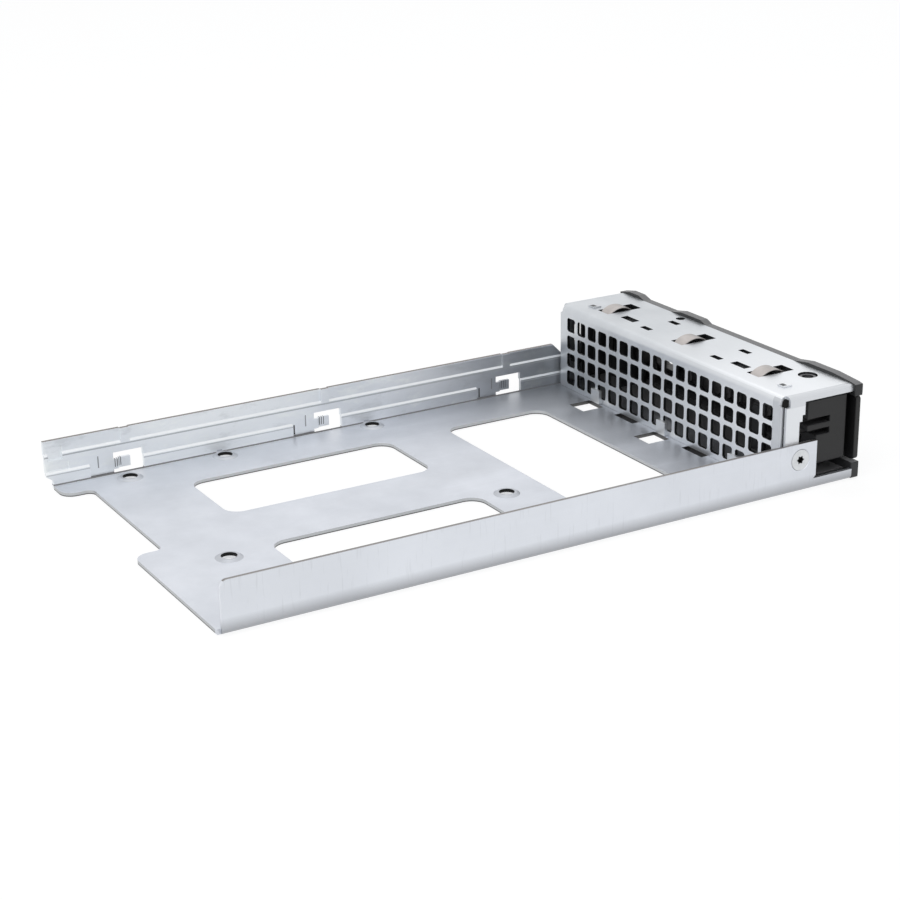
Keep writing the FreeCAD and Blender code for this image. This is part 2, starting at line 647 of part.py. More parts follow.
def tray_windows(body):
    """The far wall's three windows, each with plain wall round it and a spring tongue."""
    sheet, step = S["tray_sheet"], S["emboss_step"]
    plain = FAR_FACE + step
    above = S["lower_ledge"] + step
    length = S["flat_behind"] + S["window_length"]
    high = S["upper_ledge"]
    rears = [S["window_first"] + index * S["window_pitch"] for index in range(3)]
    zone = Drawing(body, "PlainZones", "XZ", FAR_FACE)
    holes = Drawing(body, "WallWindows", "XZ", FAR_FACE)
    tongues = Drawing(body, "Tongues", "XY", S["tongue_low"])
    breaks = Drawing(body, "BeadBreaks", "XZ", FAR_FACE)
    bridges = Drawing(body, "BeadBridges", "XZ", plain)
    for rear in rears:
        front = rear + S["window_length"]
        zone.rectangle(rear - S["flat_behind"], -1, front, above)
        holes.rectangle(rear, -1, front, S["window_top"])
        tongue_outline(tongues, rear, plain)
        breach = rear + S["bead_break"]
        breaks.rectangle(breach, high, breach + S["bead_break"], S["wall_height"] + 1)
        bridges.rectangle(breach, high, breach + S["bead_break"], S["wall_height"])
    pocket(body, zone, 3 * step + sheet + 1)
    wall = Drawing(body, "PlainWall", "YZ", rears[0] - S["flat_behind"])
    wall.polygon(
        [
            (FAR_FACE - sheet, 0),
            (plain + sheet, 0, BEND),
            (plain + sheet, above),
            (plain, above),
            (plain, FLOOR, S["bend_inside"]),
            (FAR_FACE - sheet, FLOOR),
        ]
    )
    row(body, pad(body, wall, length), wall, "N_Axis", S["window_pitch"], 3)
    pocket(body, holes, 3 * step + sheet + 1)
    pad(body, tongues, S["tongue_high"] - S["tongue_low"])
    pocket(body, breaks, 3 * step + sheet + 1)
    pad(body, bridges, sheet)


def tongue_outline(drawing, rear, plain):
    """A tongue as seen from above: it reaches into its window and steps outwards."""
    tip = rear + S["tongue_reach"]
    bend = rear + S["tongue_reach"] / 4
    out, thin = S["tongue_joggle"], S["tongue_sheet"]
    drawing.polygon(
        [
            (rear - 1, plain),
            (bend, plain),
            (bend + out, plain + out),
            (tip, plain + out),
            (tip, plain + out + thin),
            (bend + out, plain + out + thin),
            (bend, plain + thin),
            (rear - 1, plain + thin),
        ]
    )


def tray_fronts(body):
    """Front ends of both walls, and the far wall's flat end against the cage."""
    sheet = S["tray_sheet"]
    start, notch = S["emboss_end"], S["wall_notch"]
    top = S["wall_height"]
    ends = Drawing(body, "EmbossEnd", "XZ", FAR_FACE)
    ends.polygon(
        [
            (start, S["lower_ledge"]),
            (S["front_edge"] + 1, S["lower_ledge"]),
            (S["front_edge"] + 1, top + 1),
            (start - notch, top + 1),
            (start - notch, top),
            (start, top - notch),
        ]
    )
    pocket(body, ends, 3 * S["emboss_step"] + sheet + 1)
    flat = Drawing(body, "FlatFront", "XZ", FAR_FACE)
    flat.rectangle(start, S["lower_ledge"], S["wall_front"], top)
    pad(body, flat, sheet)
    lip, relief = S["lip_height"], S["bend_inside"] + 0.5
    fronts = Drawing(body, "WallFronts", "XZ", -1)
    fronts.polygon(
        [
            (S["wall_front"], lip + relief),
            (S["wall_front"] - relief, lip),
            (S["front_edge"] + 1, lip),
            (S["front_edge"] + 1, top + 1),
            (S["wall_front"], top + 1),
        ]
    )
    pocket(body, fronts, OVERALL_FAR + 2)


def tray_end_pockets(body):
    """Two shallow pockets pressed outwards at the rear end of the far wall."""
    rear = -S["rear_overhang"] + S["tray_sheet"]
    face = S["emboss_step"] + S["pocket_depth"]
    high = Drawing(body, "HighPocket", "XZ", FAR_FACE)
    high.rectangle(rear, S["pocket_low"], S["pocket_front"], S["pocket_high"])
    pocket(body, high, face + S["emboss_step"])
    low = Drawing(body, "LowPocket", "XZ", FAR_FACE)
    ledge = S["lower_ledge"] + S["emboss_step"]
    low.rectangle(rear, ledge, S["low_pocket_front"], S["low_pocket_top"])
    pocket(body, low, face)


def hole_places(x, y, spacing_x, spacing_y):
    """The four holes of a drive's pattern, the far front one last."""
    return [(x + a * spacing_x, y + b * spacing_y) for a in (-0.5, 0.5) for b in (-0.5, 0.5)]


def tray_floor(body):
    """Screw dimples, floor windows, drive holes and the pin's hole.

    The 2.5 inch pattern has three holes: its far front one would run into a 3.5 inch hole.
    """
    small_y = FAR_FACE - S["small_drive_inset"]
    small = hole_places(S["small_drive_x"], small_y, S["small_spacing_x"], S["small_spacing_y"])
    large_spacing = S["drive_width"] - 2 * S["drive_hole_inset"]
    large = hole_places(S["large_drive_x"], MIDDLE, S["large_spacing_x"], large_spacing)
    dimples = Drawing(body, "Dimples", "XY", FLOOR)
    holes = Drawing(body, "FloorHoles", "XY", -1)
    for x, y in small[:3] + large:
        dimples.circle(x, y, S["dimple_base_radius"])
        holes.circle(x, y, S["drive_hole_radius"])
    raised = pad(body, dimples, S["dimple_height"])
    taper(raised, S["dimple_top_radius"] - S["dimple_base_radius"], S["dimple_height"])
    near, far = S["bay_near"], FAR_FACE - S["bay_margin"]
    radius = S["bay_corner"]
    holes.rectangle(S["bay_rear"], near, S["bay_front"], near + S["bay_width"], radius)
    holes.rectangle(S["bay_rear"], far - S["bay_width"], S["bay_front"], far, radius)
    holes.rectangle(S["front_bay_rear"], near, S["front_bay_front"], far, radius)
    holes.circle(S["pivot_x"], S["pivot_y"], S["pin_radius"] + S["pin_clearance"])
    hook_rear = S["panel_rear"] - S["tray_sheet"]
    for index in range(3):
        hook = S["hook_first"] + index * S["hook_pitch"]
        low = hook - S["hook_width"] / 2 - S["hook_window_near"]
        high = hook + S["hook_width"] / 2 + S["hook_window_far"]
        holes.rectangle(hook_rear - S["hook_reach"], low, hook_rear, high)
    pocket(body, holes, FLOOR + S["dimple_height"] + 2)


def tray_hooks(body):
    """Hooks bent up from the floor, which stop the panel, and pressed pockets between them."""
    hook_front = S["panel_rear"]
    hook_rear = hook_front - S["tray_sheet"]
    hook = Drawing(body, "Hook", "XZ", S["hook_first"] - S["hook_width"] / 2)
    hook.polygon(
        [
            (hook_front + 1, 0),
            (hook_front + 1, FLOOR),
            (hook_front, FLOOR),
            (hook_front, S["hook_height"]),
            (hook_rear, S["hook_height"]),
            (hook_rear, 0, S["bend_inside"]),
        ]
    )
    upright = pad(body, hook, S["hook_width"])
    row(body, upright, hook, "N_Axis", S["hook_pitch"], 3, back=True)
    seats = Drawing(body, "SeatPockets", "XY", FLOOR - S["seat_pocket_depth"])
    front = S["panel_rear"]
    for index in range(2):
        middle = S["hook_first"] + (index + 0.5) * S["hook_pitch"]
        half = S["seat_pocket_length"] / 2
        seats.rectangle(front - S["seat_pocket_width"], middle - half, front, middle + half)
    pocket(body, seats, S["seat_pocket_depth"] + 1)


def tray_screw_holes(body):
    """Countersunk holes for the side screws, in both walls."""
    sheet = S["tray_sheet"]
    wide = S["screw_head"] + S["screw_sink"]
    drawing = Drawing(body, "ScrewHoles", "XY", S["screw_z"], (S["screw_x"], 0))
    for face, inwards in ((as_size(0), 1), (FAR_FACE + sheet, -1)):
        drawing.polygon(
            [
                (0, face - inwards),
                (wide + 1, face - inwards),
                (wide - sheet - 1, face + inwards * (sheet + 1)),
                (0, face + inwards * (sheet + 1)),
            ]
        )
    revolve(body, drawing, groove=True)


def make_tray():
    body = new_body("tray")
    tray_channel(body)
    tray_rear(body)
    tray_windows(body)
    tray_fronts(body)
    tray_end_pockets(body)
    tray_floor(body)
    tray_hooks(body)
    tray_screw_holes(body)
    return body


# Front cage


def cage_fold(body):
    """Top plate and rear panel as one folded section."""
    drawing = Drawing(body, "Fold", "XZ", PANEL_NEAR)
    drawing.polygon(
        [
            (S["panel_rear"], CAGE_FOOT),
            (PANEL_FRONT, CAGE_FOOT),
            (PANEL_FRONT, PLATE_UNDER, S["cage_bend"] - S["cage_sheet"]),
            (S["front_edge"], PLATE_UNDER),
            (S["front_edge"], S["cage_height"]),
            (S["panel_rear"], S["cage_height"], S["cage_bend"]),
        ]
    )
    pad(body, drawing, PANEL_FAR - PANEL_NEAR)


def cage_sides(body):
    """Rolled eaves along both sides, the side strips under them, and the corner reliefs."""
    sheet = S["cage_sheet"]
    eaves = Drawing(body, "Eaves", "YZ", EAVE_REAR)
    for edge, inner, inwards in ((NEAR_FACE, PANEL_NEAR, 1), (FAR_FACE, PANEL_FAR, -1)):
        eaves.polygon(
            [
                (inner, PLATE_UNDER),
                (edge + inwards * sheet, PLATE_UNDER),
                (edge + inwards * sheet, EAVE_FOOT),
                (edge, EAVE_FOOT),
                (edge, S["cage_height"], S["panel_inset"] - 0.1),
                (inner, S["cage_height"]),
            ]
        )
    pad(body, eaves, S["front_edge"] - EAVE_REAR)
    reliefs = Drawing(body, "CornerReliefs", "XY", RELIEF_LEVEL)
    for low, high in ((PANEL_NEAR - 1, PANEL_NEAR + 0.8), (PANEL_FAR - 0.8, PANEL_FAR + 1)):
        reliefs.rectangle(S["panel_rear"] - 1, low, EAVE_REAR, high)
    pocket(body, reliefs, S["cage_bend"] + 2)
    for name, start in (("NearStrip", NEAR_FACE), ("FarStrip", FAR_FACE - sheet)):
        strip = strip_outline(Drawing(body, name, "XZ", start))
        pad(body, strip, sheet)


def strip_outline(drawing):
    """Side strip: a foot with the screw's hole, a plain web, and a stepped lug at the top."""
    lug = S["stop_front"] - S["stop_step"]
    drawing.polygon(
        [
            (S["strip_rear"], STRIP_FOOT),
            (S["foot_front"], STRIP_FOOT),
            (S["foot_front"], S["foot_top"]),
            (S["strip_front"], S["foot_top"]),
            (S["strip_front"], S["stop_low"]),
            (lug, S["stop_low"]),
            (lug, S["stop_mid"]),
            (S["stop_front"], S["stop_mid"]),
            (S["stop_front"], EAVE_FOOT),
            (EAVE_REAR, EAVE_FOOT),
            (EAVE_REAR, RELIEF_LEVEL),
            (S["strip_rear"], RELIEF_LEVEL),
        ]
    )
    return drawing.circle(S["screw_x"], S["screw_z"], S["screw_shank"] + S["screw_slack"])


def cage_top(body):
    """Openings of the top plate, and its two small louvres."""
    holes = Drawing(body, "TopHoles", "XY", PLATE_UNDER - 1)
    half = S["finger_width"] / 2 + S["finger_gap"]
    for place in FINGERS:
        holes.rectangle(FINGER_REAR, place - half, FINGER_FRONT, place + half)
    for place in TAB_SLOTS:
        for along in (S["tab_slot_rear"], S["tab_slot_front"]):
            centred(holes, along, place, S["tab_slot_width"], S["tab_slot_length"])
    for place in WIDE_SLOTS:
        centred(holes, S["wide_slot_x"], place, S["wide_slot_width"], S["wide_slot_length"])
    holes.circle(S["round_hole_x"], across("round_hole_y"), S["round_hole_radius"])
    holes.circle(S["pivot_x"], S["pivot_y"], S["pin_radius"] + S["pin_clearance"])
    pocket(body, holes, S["cage_sheet"] + 2)
    raised = Drawing(body, "Louvres", "XY", S["cage_height"] - 0.2)
    sunk = Drawing(body, "LouvreMouths", "XY", PLATE_UNDER - 1)
    for place in (NEAR_FACE + S["louvre_inset"], FAR_FACE - S["louvre_inset"]):
        centred(raised, S["louvre_x"], place, S["louvre_length"], S["louvre_width"])
        centred(sunk, S["louvre_x"], place, S["louvre_length"], S["louvre_width"])
    pad(body, raised, S["louvre_lift"] + 0.2)
    pocket(body, sunk, S["louvre_lift"] + 1)


def centred(drawing, x, y, length, width):
    return drawing.rectangle(x - length / 2, y - width / 2, x + length / 2, y + width / 2)


def cage_vents(body):
    """Square holes of the panel with bevelled corners, row over row."""
    width, bevel = S["vent_width"], S["vent_corner"]
    low = PANEL_NEAR + S["vent_margin"]
    foot = S["vent_first_z"] - width / 2
    vent = Drawing(body, "Vent", "YZ", S["panel_rear"] - 1)
    vent.polygon(
        [
            (low + bevel, foot),
            (low + width - bevel, foot),
            (low + width, foot + bevel),
            (low + width, foot + width - bevel),
            (low + width - bevel, foot + width),
            (low + bevel, foot + width),
            (low, foot + width - bevel),
            (low, foot + bevel),
        ]
    )
    hole = pocket(body, vent, S["cage_sheet"] + 2)
    room = PANEL_FAR - PANEL_NEAR - 2 * S["vent_margin"] - width
    across = (room / (S["vent_columns"] - 1), S["vent_columns"])
    return grid(body, hole, vent, across, (S["vent_rise"], S["vent_rows"]))


def make_front_cage():
    body = new_body("front_cage")
    cage_fold(body)
    cage_sides(body)
    cage_top(body)
    cage_vents(body)
    return body


# Contact fingers


def make_contact_finger(label, place):
    """A thin spring strip: a foot under the top plate and a crown standing through it."""
    body = new_body(label, (0, place, 0))
    sheet, half = S["finger_sheet"], S["finger_width"] / 2
    drop = S["finger_rise"] + S["cage_sheet"]
    span = S["finger_span"] / 2
    radius = (span * span + drop * drop) / (2 * drop)
    centre = S["cage_height"] + S["finger_rise"] - radius
    arch = Drawing(body, "Arch", "YZ", S["finger_x"], (0, centre))
    arch.rectangle(-half, radius - sheet, half, radius)
    swing = 2 * math.degrees(math.asin(span.number / radius.number))
    angle = Size(swing, f"2 * asin({span.formula} / {radius.formula})")
    revolve(body, arch, axis="H_Axis", angle=angle)
    foot = Drawing(body, "Foot", "XZ", -half)
    end = S["finger_x"] - span
    foot.rectangle(end - S["finger_foot"], PLATE_UNDER - sheet, end + 0.1, PLATE_UNDER)
    pad(body, foot, S["finger_width"])
    return body


# Side screws


def make_side_screw(label, face, inwards):
    """Flat head screw with a six-pointed socket, driven in from a wall's outer face."""
    body = new_body(label, (S["screw_x"], face, S["screw_z"]))
    top = inwards * S["head_sunk"]
    under = inwards * (S["head_sunk"] + S["head_depth"])
    end = inwards * (S["head_sunk"] + S["screw_length"])
    profile = Drawing(body, "Profile", "XY", 0)
    profile.polygon(
        [
            (0, top),
            (S["screw_head"], top),
            (S["screw_shank"], under),
            (S["screw_shank"], end - inwards * 0.4),
            (S["screw_shank"] - 0.4, end),
            (0, end),
        ]
    )
    revolve(body, profile)
    star = []
    for index in range(12):
        reach = S["screw_socket"] if index % 2 == 0 else S["socket_core"]
        turn = math.radians(30 * index)
        star.append((reach * math.cos(turn), reach * math.sin(turn)))
    socket = Drawing(body, "Socket", "XZ", top).polygon(star)
    pocket(body, socket, S["socket_depth"], back=inwards < 0)
    return body


# Moulded front


def bezel_ring(body):
    """The front's ring, open on its near side, its front edges bevelled all round."""
    bevel = S["edge_bevel"]
    straight = S["front_depth"] - bevel
    pad(body, ring_outline(Drawing(body, "Ring", "YZ", S["front_edge"])), straight)
    level = S["front_edge"] + straight
    sloped = pad(body, ring_outline(Drawing(body, "RingBevel", "YZ", level)), bevel)
    taper(sloped, -bevel, bevel)


def ring_outline(drawing):
    """Bottom beam, far rim and top beam, with three bumps along the top."""
    top = S["cage_height"]
    crown = top + S["bump_height"]
    near, far = S["front_near"], FRONT_FAR
    rim = far - S["far_rim"]
    low_beam = S["front_low"] + S["bottom_beam"]
    high_beam = top - S["top_beam"]
    return drawing.polygon(
        [
            (near, S["front_low"]),
            (far, S["front_low"]),
            (far, top),
            (far - S["far_bump_top"], crown),
            (far - S["far_bump_drop"], crown),
            (far - S["far_bump_foot"], top),
            (MIDDLE + S["middle_bump_foot"], top),
            (MIDDLE + S["middle_bump_top"], crown),
            (MIDDLE + S["middle_bump_drop"], crown),
            (MIDDLE + S["middle_bump_end"], top),
            (S["near_bump_foot"], top),
            (S["near_bump_top"], crown),
            (S["near_bump_drop"], crown),
            (S["near_bump_end"], top + S["near_bump_rest"]),
            (near, top),
            (near, high_beam),
            (rim, high_beam),
            (rim, low_beam),
            (near, low_beam),
        ]
    )


def bezel_shelves(body):
    """Inner shelves: the upper one lies under the cage's plate, the lower one on the floor."""
    low, high = NEAR_FACE + S["shelf_margin"], FAR_FACE - S["shelf_margin"]
    rear, front = S["shelf_rear"], S["front_edge"]
    bay = FINGER_FRONT + S["finger_gap"]
    corners = [(front, low), (front, high), (rear, high)]
    for place in reversed(FINGERS):
        half = S["finger_bay"]
        corners += [(rear, place + half), (bay, place + half)]
        corners += [(bay, place - half), (rear, place - half)]
    corners.append((rear, low))
    bore = S["pin_radius"] + 2 * S["pin_clearance"]
    upper = Drawing(body, "UpperShelf", "XY", SHELF_UNDER).polygon(corners)
    upper.circle(S["pivot_x"], S["pivot_y"], bore)
    pad(body, upper, S["shelf_sheet"])
    lower = Drawing(body, "LowerShelf", "XY", FLOOR).rectangle(rear, low, front, high)
    lower.circle(S["pivot_x"], S["pivot_y"], bore)
    pad(body, lower, S["shelf_sheet"])


def bezel_housing(body):
    """Guide for the release button, the far cheek, and the post for the lever spring's leg."""
    low, high = BUTTON_NEAR + S["house_inset"], BUTTON_FAR
    wall = S["house_wall"]
    back, front = S["house_back"], BUTTON_BACK - S["button_travel"] - S["house_gap"]
    house = Drawing(body, "Housing", "XY", SHELF_TOP)
    house.polygon(
        [
            (back, low),
            (front, low),
            (front, low + wall),
            (HOUSE_FRONT, low + wall),
            (HOUSE_FRONT, high - wall),
            (front, high - wall),
            (front, high),
            (back, high),
            (back, high - wall),
            (S["house_rear"], high - wall),
            (S["house_rear"], low + wall),
            (back, low + wall),
        ]
    )
    pad(body, house, SHELF_UNDER - SHELF_TOP)
    outer = FAR_FACE - S["cage_sheet"] - S["cheek_gap"]
    cheek = (S["cheek_rear"], outer - S["cheek_sheet"], SHELF_TOP)
    block(body, "FarCheek", cheek, (front, outer, SHELF_UNDER))
    bore = Drawing(body, "StemBore", "YZ", S["house_rear"] - 1)
    bore.circle(BUTTON_MIDDLE, LEVER_MIDDLE, S["stem_radius"] + S["stem_clearance"])
    pocket(body, bore, wall + 2)
    front = S["pivot_x"] - S["spring_radius"] - S["spring_wire"] / 2 - S["leg_gap"]
    post = Drawing(body, "Post", "XY", SHELF_TOP)
    post.rectangle(
        front - S["post_width"], S["post_far"] - S["post_length"], front, S["post_far"]
    )
    pad(body, post, SPRING_TOP + 1.5 - SHELF_TOP)


def make_bezel_frame():
    body = new_body("bezel_frame")
    bezel_ring(body)
    bezel_shelves(body)
    bezel_housing(body)
    return body


# Ejector lever


def lever_plate(body):
    """Front plate with a finger opening."""
    plate = Drawing(body, "Plate", "YZ", LEVER_BACK)
    plate.rectangle(S["lever_near"], LEVER_LOW, LEVER_TIP, LEVER_HIGH, S["lever_corner"])
    half = S["grip_height"] / 2
    corner = S["grip_corner"]
    plate.rectangle(GRIP_NEAR, LEVER_MIDDLE - half, GRIP_FAR, LEVER_MIDDLE + half, corner)
    pad(body, plate, S["lever_sheet"])


def lever_vents(body):
    """Three staggered rows of hexagonal vents through the front plate."""
    pitch = HEX_PITCH
    rise = pitch * (math.sqrt(3) / 2)
    first = HEX_START + HEX_WIDTH / 2
    rows = (
        ("OuterHex", first, LEVER_MIDDLE - rise, S["hex_columns"], 2),
        ("MiddleHex", first + pitch / 2, LEVER_MIDDLE, S["hex_columns"] - 1, 1),
    )
    for name, y, z, columns, levels in rows:
        hexagon = hexagon_outline(Drawing(body, name, "YZ", LEVER_BACK - 1), y, z)
        hole = pocket(body, hexagon, S["lever_sheet"] + 2)
        if levels == 1:
            row(body, hole, hexagon, "H_Axis", pitch, columns)
        else:
            grid(body, hole, hexagon, (pitch, columns), (2 * rise, as_size(2)))


def hexagon_outline(drawing, x, y):
    """A hexagon with two upright sides."""
    half = HEX_WIDTH / 2
    point = HEX_WIDTH / math.sqrt(3)
    drawing.polygon(
        [
            (x - half, y - point / 2),
            (x, y - point),
            (x + half, y - point / 2),
            (x + half, y + point / 2),
            (x, y + point),
            (x - half, y + point / 2),
        ]
    )
    return drawing


def lever_hub(body):
    """Hub round the pin in two knuckles, with the block behind it and the spring between."""
    x, y = S["pivot_x"], S["pivot_y"]
    side, far = S["hub_side"], S["hub_far"]
    block_front = LEVER_BACK - S["side_groove"]
    low_rear, high_rear = S["hub_low_rear"], S["hub_rear"]
    levels = (
        ("LowBlock", low_rear, S["block_low"], COIL_LOW, far),
        ("MidBlock", low_rear, COIL_LOW, COIL_HIGH, side + S["hub_near_wall"]),
        ("HighBlock", high_rear, COIL_HIGH, HUB_HIGH, far),
    )
    for name, rear, low, high, end in levels:
        block(body, name, (rear, side, low), (block_front, end, high))
    knuckles = (("LowHub", HUB_LOW, COIL_LOW), ("HighHub", COIL_HIGH, HUB_HIGH))
    for name, low, high in knuckles:
        hub = Drawing(body, name, "XY", low).circle(x, y, S["hub_radius"])
        pad(body, hub, high - low)
    webs = (("LowWeb", LEVER_LOW, COIL_LOW), ("HighWeb", COIL_HIGH, LEVER_HIGH))
    for name, low, high in webs:
        block(body, name, (x, y - S["hub_radius"], low), (LEVER_BACK + 0.1, y + S["hub_radius"], high))
    bore = Drawing(body, "Bore", "XY", HUB_LOW - 1).circle(x, y, S["pin_radius"] + S["pin_clearance"])
    pocket(body, bore, HUB_HIGH - HUB_LOW + 2)


def lever_details(body):
    """Stiffening flanges, the rib that takes the spring, the catch arm and the side slots."""
    flange, sheet = S["lever_flange"], S["flange_sheet"]
    near, far = S["pivot_y"], LEVER_TIP
    flanges = Drawing(body, "Flanges", "YZ", LEVER_BACK - flange)
    flanges.rectangle(near, LEVER_LOW, far, LEVER_LOW + sheet)
    flanges.rectangle(near, LEVER_HIGH - sheet, far, LEVER_HIGH)
    pad(body, flanges, flange + 0.1)
    rib_rear = S["pivot_x"] + S["spring_radius"] + S["spring_wire"] / 2 + S["leg_gap"]
    rib_near = S["pivot_y"] + S["spring_leg"] - S["seat_rib_length"] - 2
    block(
        body,
        "SeatRib",
        (rib_rear, rib_near, SPRING_TOP - 2 * S["spring_wire"]),
        (LEVER_BACK + 0.1, rib_near + S["seat_rib_length"], SPRING_TOP + S["spring_wire"]),
    )
    arm, barb = S["catch_sheet"], S["catch_barb"]
    tip = LEVER_BACK - S["catch_depth"]
    catch = Drawing(body, "CatchArm", "XY", LEVER_MIDDLE - S["catch_height"] / 2)
    catch.polygon(
        [
            (LEVER_BACK + 0.1, far - arm),
            (LEVER_BACK + 0.1, far),
            (tip + 3 * barb, far),
            (tip + 2 * barb, far + barb),
            (tip + barb, far + barb),
            (tip, far - arm / 2),
            (tip, far - arm),
        ]
    )
    pad(body, catch, S["catch_height"])
    slots = Drawing(body, "SideSlots", "XZ", S["hub_side"])
    for index in range(2):
        low = S["side_slot_low"] + index * S["side_slot_step"]
        slots.rectangle(S["hub_rear"] - 1, low, S["side_slot_front"], low + S["side_slot_height"])
    pocket(body, slots, S["slot_depth"])


def make_ejector_lever():
    body = new_body("ejector_lever")
    lever_plate(body)
    lever_hub(body)
    lever_details(body)
    lever_vents(body)
    return body


def make_pivot_pin():
    """Pivot pin with a sunk end at the top and at the bottom."""
    body = new_body("lever_pivot_pin", (S["pivot_x"], S["pivot_y"], 0))
    low, high = S["pin_recess"], S["cage_height"] - S["pin_recess"]
    radius, dimple = S["pin_radius"], S["pin_dimple"]
    depth = S["pin_dimple_depth"]
    profile = Drawing(body, "Profile", "XZ", 0)
    profile.polygon(
        [
            (0, low + depth),
            (dimple, low + depth),
            (dimple, low),
            (radius - 0.3, low),
            (radius, low + 0.3),
            (radius, high - 0.3),
            (radius - 0.3, high),
            (dimple, high),
            (dimple, high - depth),
            (0, high - depth),
        ]
    )
    revolve(body, profile)
    return body


# Release button


def make_release_button():
    """Grooved push button on a stem that snaps through its housing."""
    body = new_body("release_button")
    face = Drawing(body, "Face", "YZ", BUTTON_BACK)
    face.rectangle(BUTTON_NEAR, LEVER_LOW, BUTTON_FAR, LEVER_HIGH, S["button_corner"])
    pad(body, face, S["button_sheet"])
    grooves = Drawing(body, "Grooves", "YZ", LEVER_FRONT - S["button_ridge"])
    for index in (-2, -1, 0, 1, 2):
        centred(
            grooves,
            BUTTON_MIDDLE,
            LEVER_MIDDLE + index * S["groove_pitch"],
            S["button_width"] - 2 * S["groove_margin"],
            S["groove_width"],
        )
    pocket(body, grooves, S["button_ridge"] + 1)
    end = S["house_rear"] - S["collar_gap"] - S["collar_length"]
    stem = Drawing(body, "Stem", "YZ", end).circle(BUTTON_MIDDLE, LEVER_MIDDLE, S["stem_radius"])
    pad(body, stem, BUTTON_BACK - end + 0.1)
    collar = Drawing(body, "Collar", "YZ", end)
    collar.circle(BUTTON_MIDDLE, LEVER_MIDDLE, S["collar_radius"])
    pad(body, collar, S["collar_length"])
    slit = Drawing(body, "Slit", "YZ", end - 1)
    centred(slit, BUTTON_MIDDLE, LEVER_MIDDLE, S["collar_slit"], 3 * S["collar_radius"])
    pocket(body, slit, 1 + S["collar_length"] + S["slit_depth"])
    return body


# Springs


def helix_points(radius, pitch, turns, start):
    """Places along a coil, twelve to a turn, as (across, across, along)."""
    steps = int(round(turns * 12))
    places = []
    for index in range(steps + 1):
        angle = start + 2 * math.pi * index / 12
        places.append((radius * math.cos(angle), radius * math.sin(angle), pitch * index / 12))
    return places


def wire_solid(points, wire):
    """An eight-sided wire led along straight runs that meet in mitres."""
    path = Part.makePolygon(points)
    ahead = (points[1] - points[0]).normalize()
    side = ahead.cross(FreeCAD.Vector(0.3, 0.5, 0.8)).normalize()
    turn = FreeCAD.Rotation(ahead, 45)
    corners = []
    for _ in range(8):
        corners.append(points[0] + side * (wire / 2))
        side = turn.multVec(side)
    section = Part.makePolygon(corners + [corners[0]])
    sweep = Part.BRepOffsetAPI.MakePipeShell(path)
    sweep.setTransitionMode(1)
    sweep.add(section)
    sweep.build()
    sweep.makeSolid()
    return sweep.shape()


def wire_feature(label, points, wire):
    feature = DOC.addObject("Part::Feature", label)
    feature.Label = label
    feature.Shape = wire_solid([FreeCAD.Vector(*point) for point in points], wire)
    settle(feature)
    return feature


def make_lever_spring():
    """Torsion spring round the pin: its first leg rests on the post, its last on the lever."""
    sheet = DOC.getObject("Sizes")
    radius, wire = sheet.get("spring_radius"), sheet.get("spring_wire")
    leg = sheet.get("spring_leg")
    base = sheet.get("spring_level") + wire / 2
    x, y = sheet.get("pivot_x"), sheet.get("pivot_y")
    coil = helix_points(radius, sheet.get("spring_pitch"), sheet.get("spring_turns"), math.pi)
    places = [(x + a, y + b, base + c) for a, b, c in coil]
    first = (x - radius, y + leg, base)
    last = (places[-1][0], places[-1][1] + leg, places[-1][2])
    return wire_feature("lever_spring", [first, *places, last], wire)


def make_button_spring():
    """Compression spring between the housing's cross wall and the button's back."""
    sheet = DOC.getObject("Sizes")
    radius, wire = sheet.get("button_coil"), sheet.get("button_wire")
    turns = sheet.get("button_turns")
    start = HOUSE_FRONT.number + wire / 2 + 0.05
    pitch = (BUTTON_BACK.number - wire / 2 - 0.05 - start) / turns
    coil = helix_points(radius, pitch, turns, 0)
    places = [(start + c, BUTTON_MIDDLE.number + a, LEVER_MIDDLE.number + b) for a, b, c in coil]
    return wire_feature("button_spring", places, wire)


def finish(parts):
    """Builds everything, checks it and writes one file for each sub-part."""
    for part in parts:
        for feature in getattr(part, "Group", []):
            if hasattr(feature, "Refine") and feature.Name != part.Tip.Name:
                feature.Refine = False
    DOC.recompute()
    for item in DOC.Objects:
        if "Invalid" in item.State or "Error" in item.State:
            raise RuntimeError(f"{item.Name} did not build: {item.State}")
    for cut in CUTS:
        before, after = cut.BaseFeature.Shape.Volume, cut.Shape.Volume
        if not after < before - 0.001:
            raise RuntimeError(f"{cut.Name} removes nothing")
    os.makedirs("parts", exist_ok=True)
    for part in parts:
        shape = part.Shape
        if shape.isNull() or not shape.isValid() or len(shape.Solids) != 1:
            raise RuntimeError(f"{part.Label} is not one valid solid")
        shape.exportStep(f"parts/{part.Label}.step")
        print(part.Label, round(shape.Volume, 1))


def make_all():
    yield make_tray()
    yield make_front_cage()
    for index, place in enumerate(FINGERS, start=1):
        yield make_contact_finger(f"emi_finger_{index}", place)
    yield make_side_screw("side_screw_near", as_size(0), 1)
    yield make_side_screw("side_screw_far", FAR_FACE + S["tray_sheet"], -1)
    yield make_bezel_frame()
    yield make_ejector_lever()
    yield make_pivot_pin()
    yield make_lever_spring()
    yield make_release_button()
    yield make_button_spring()


finish(list(make_all()))
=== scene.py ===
"""Looks for a hot swap drive caddy: materials, soft studio light, pale floor and camera."""

import math

import bmesh
import bpy
from mathutils import Matrix, Vector


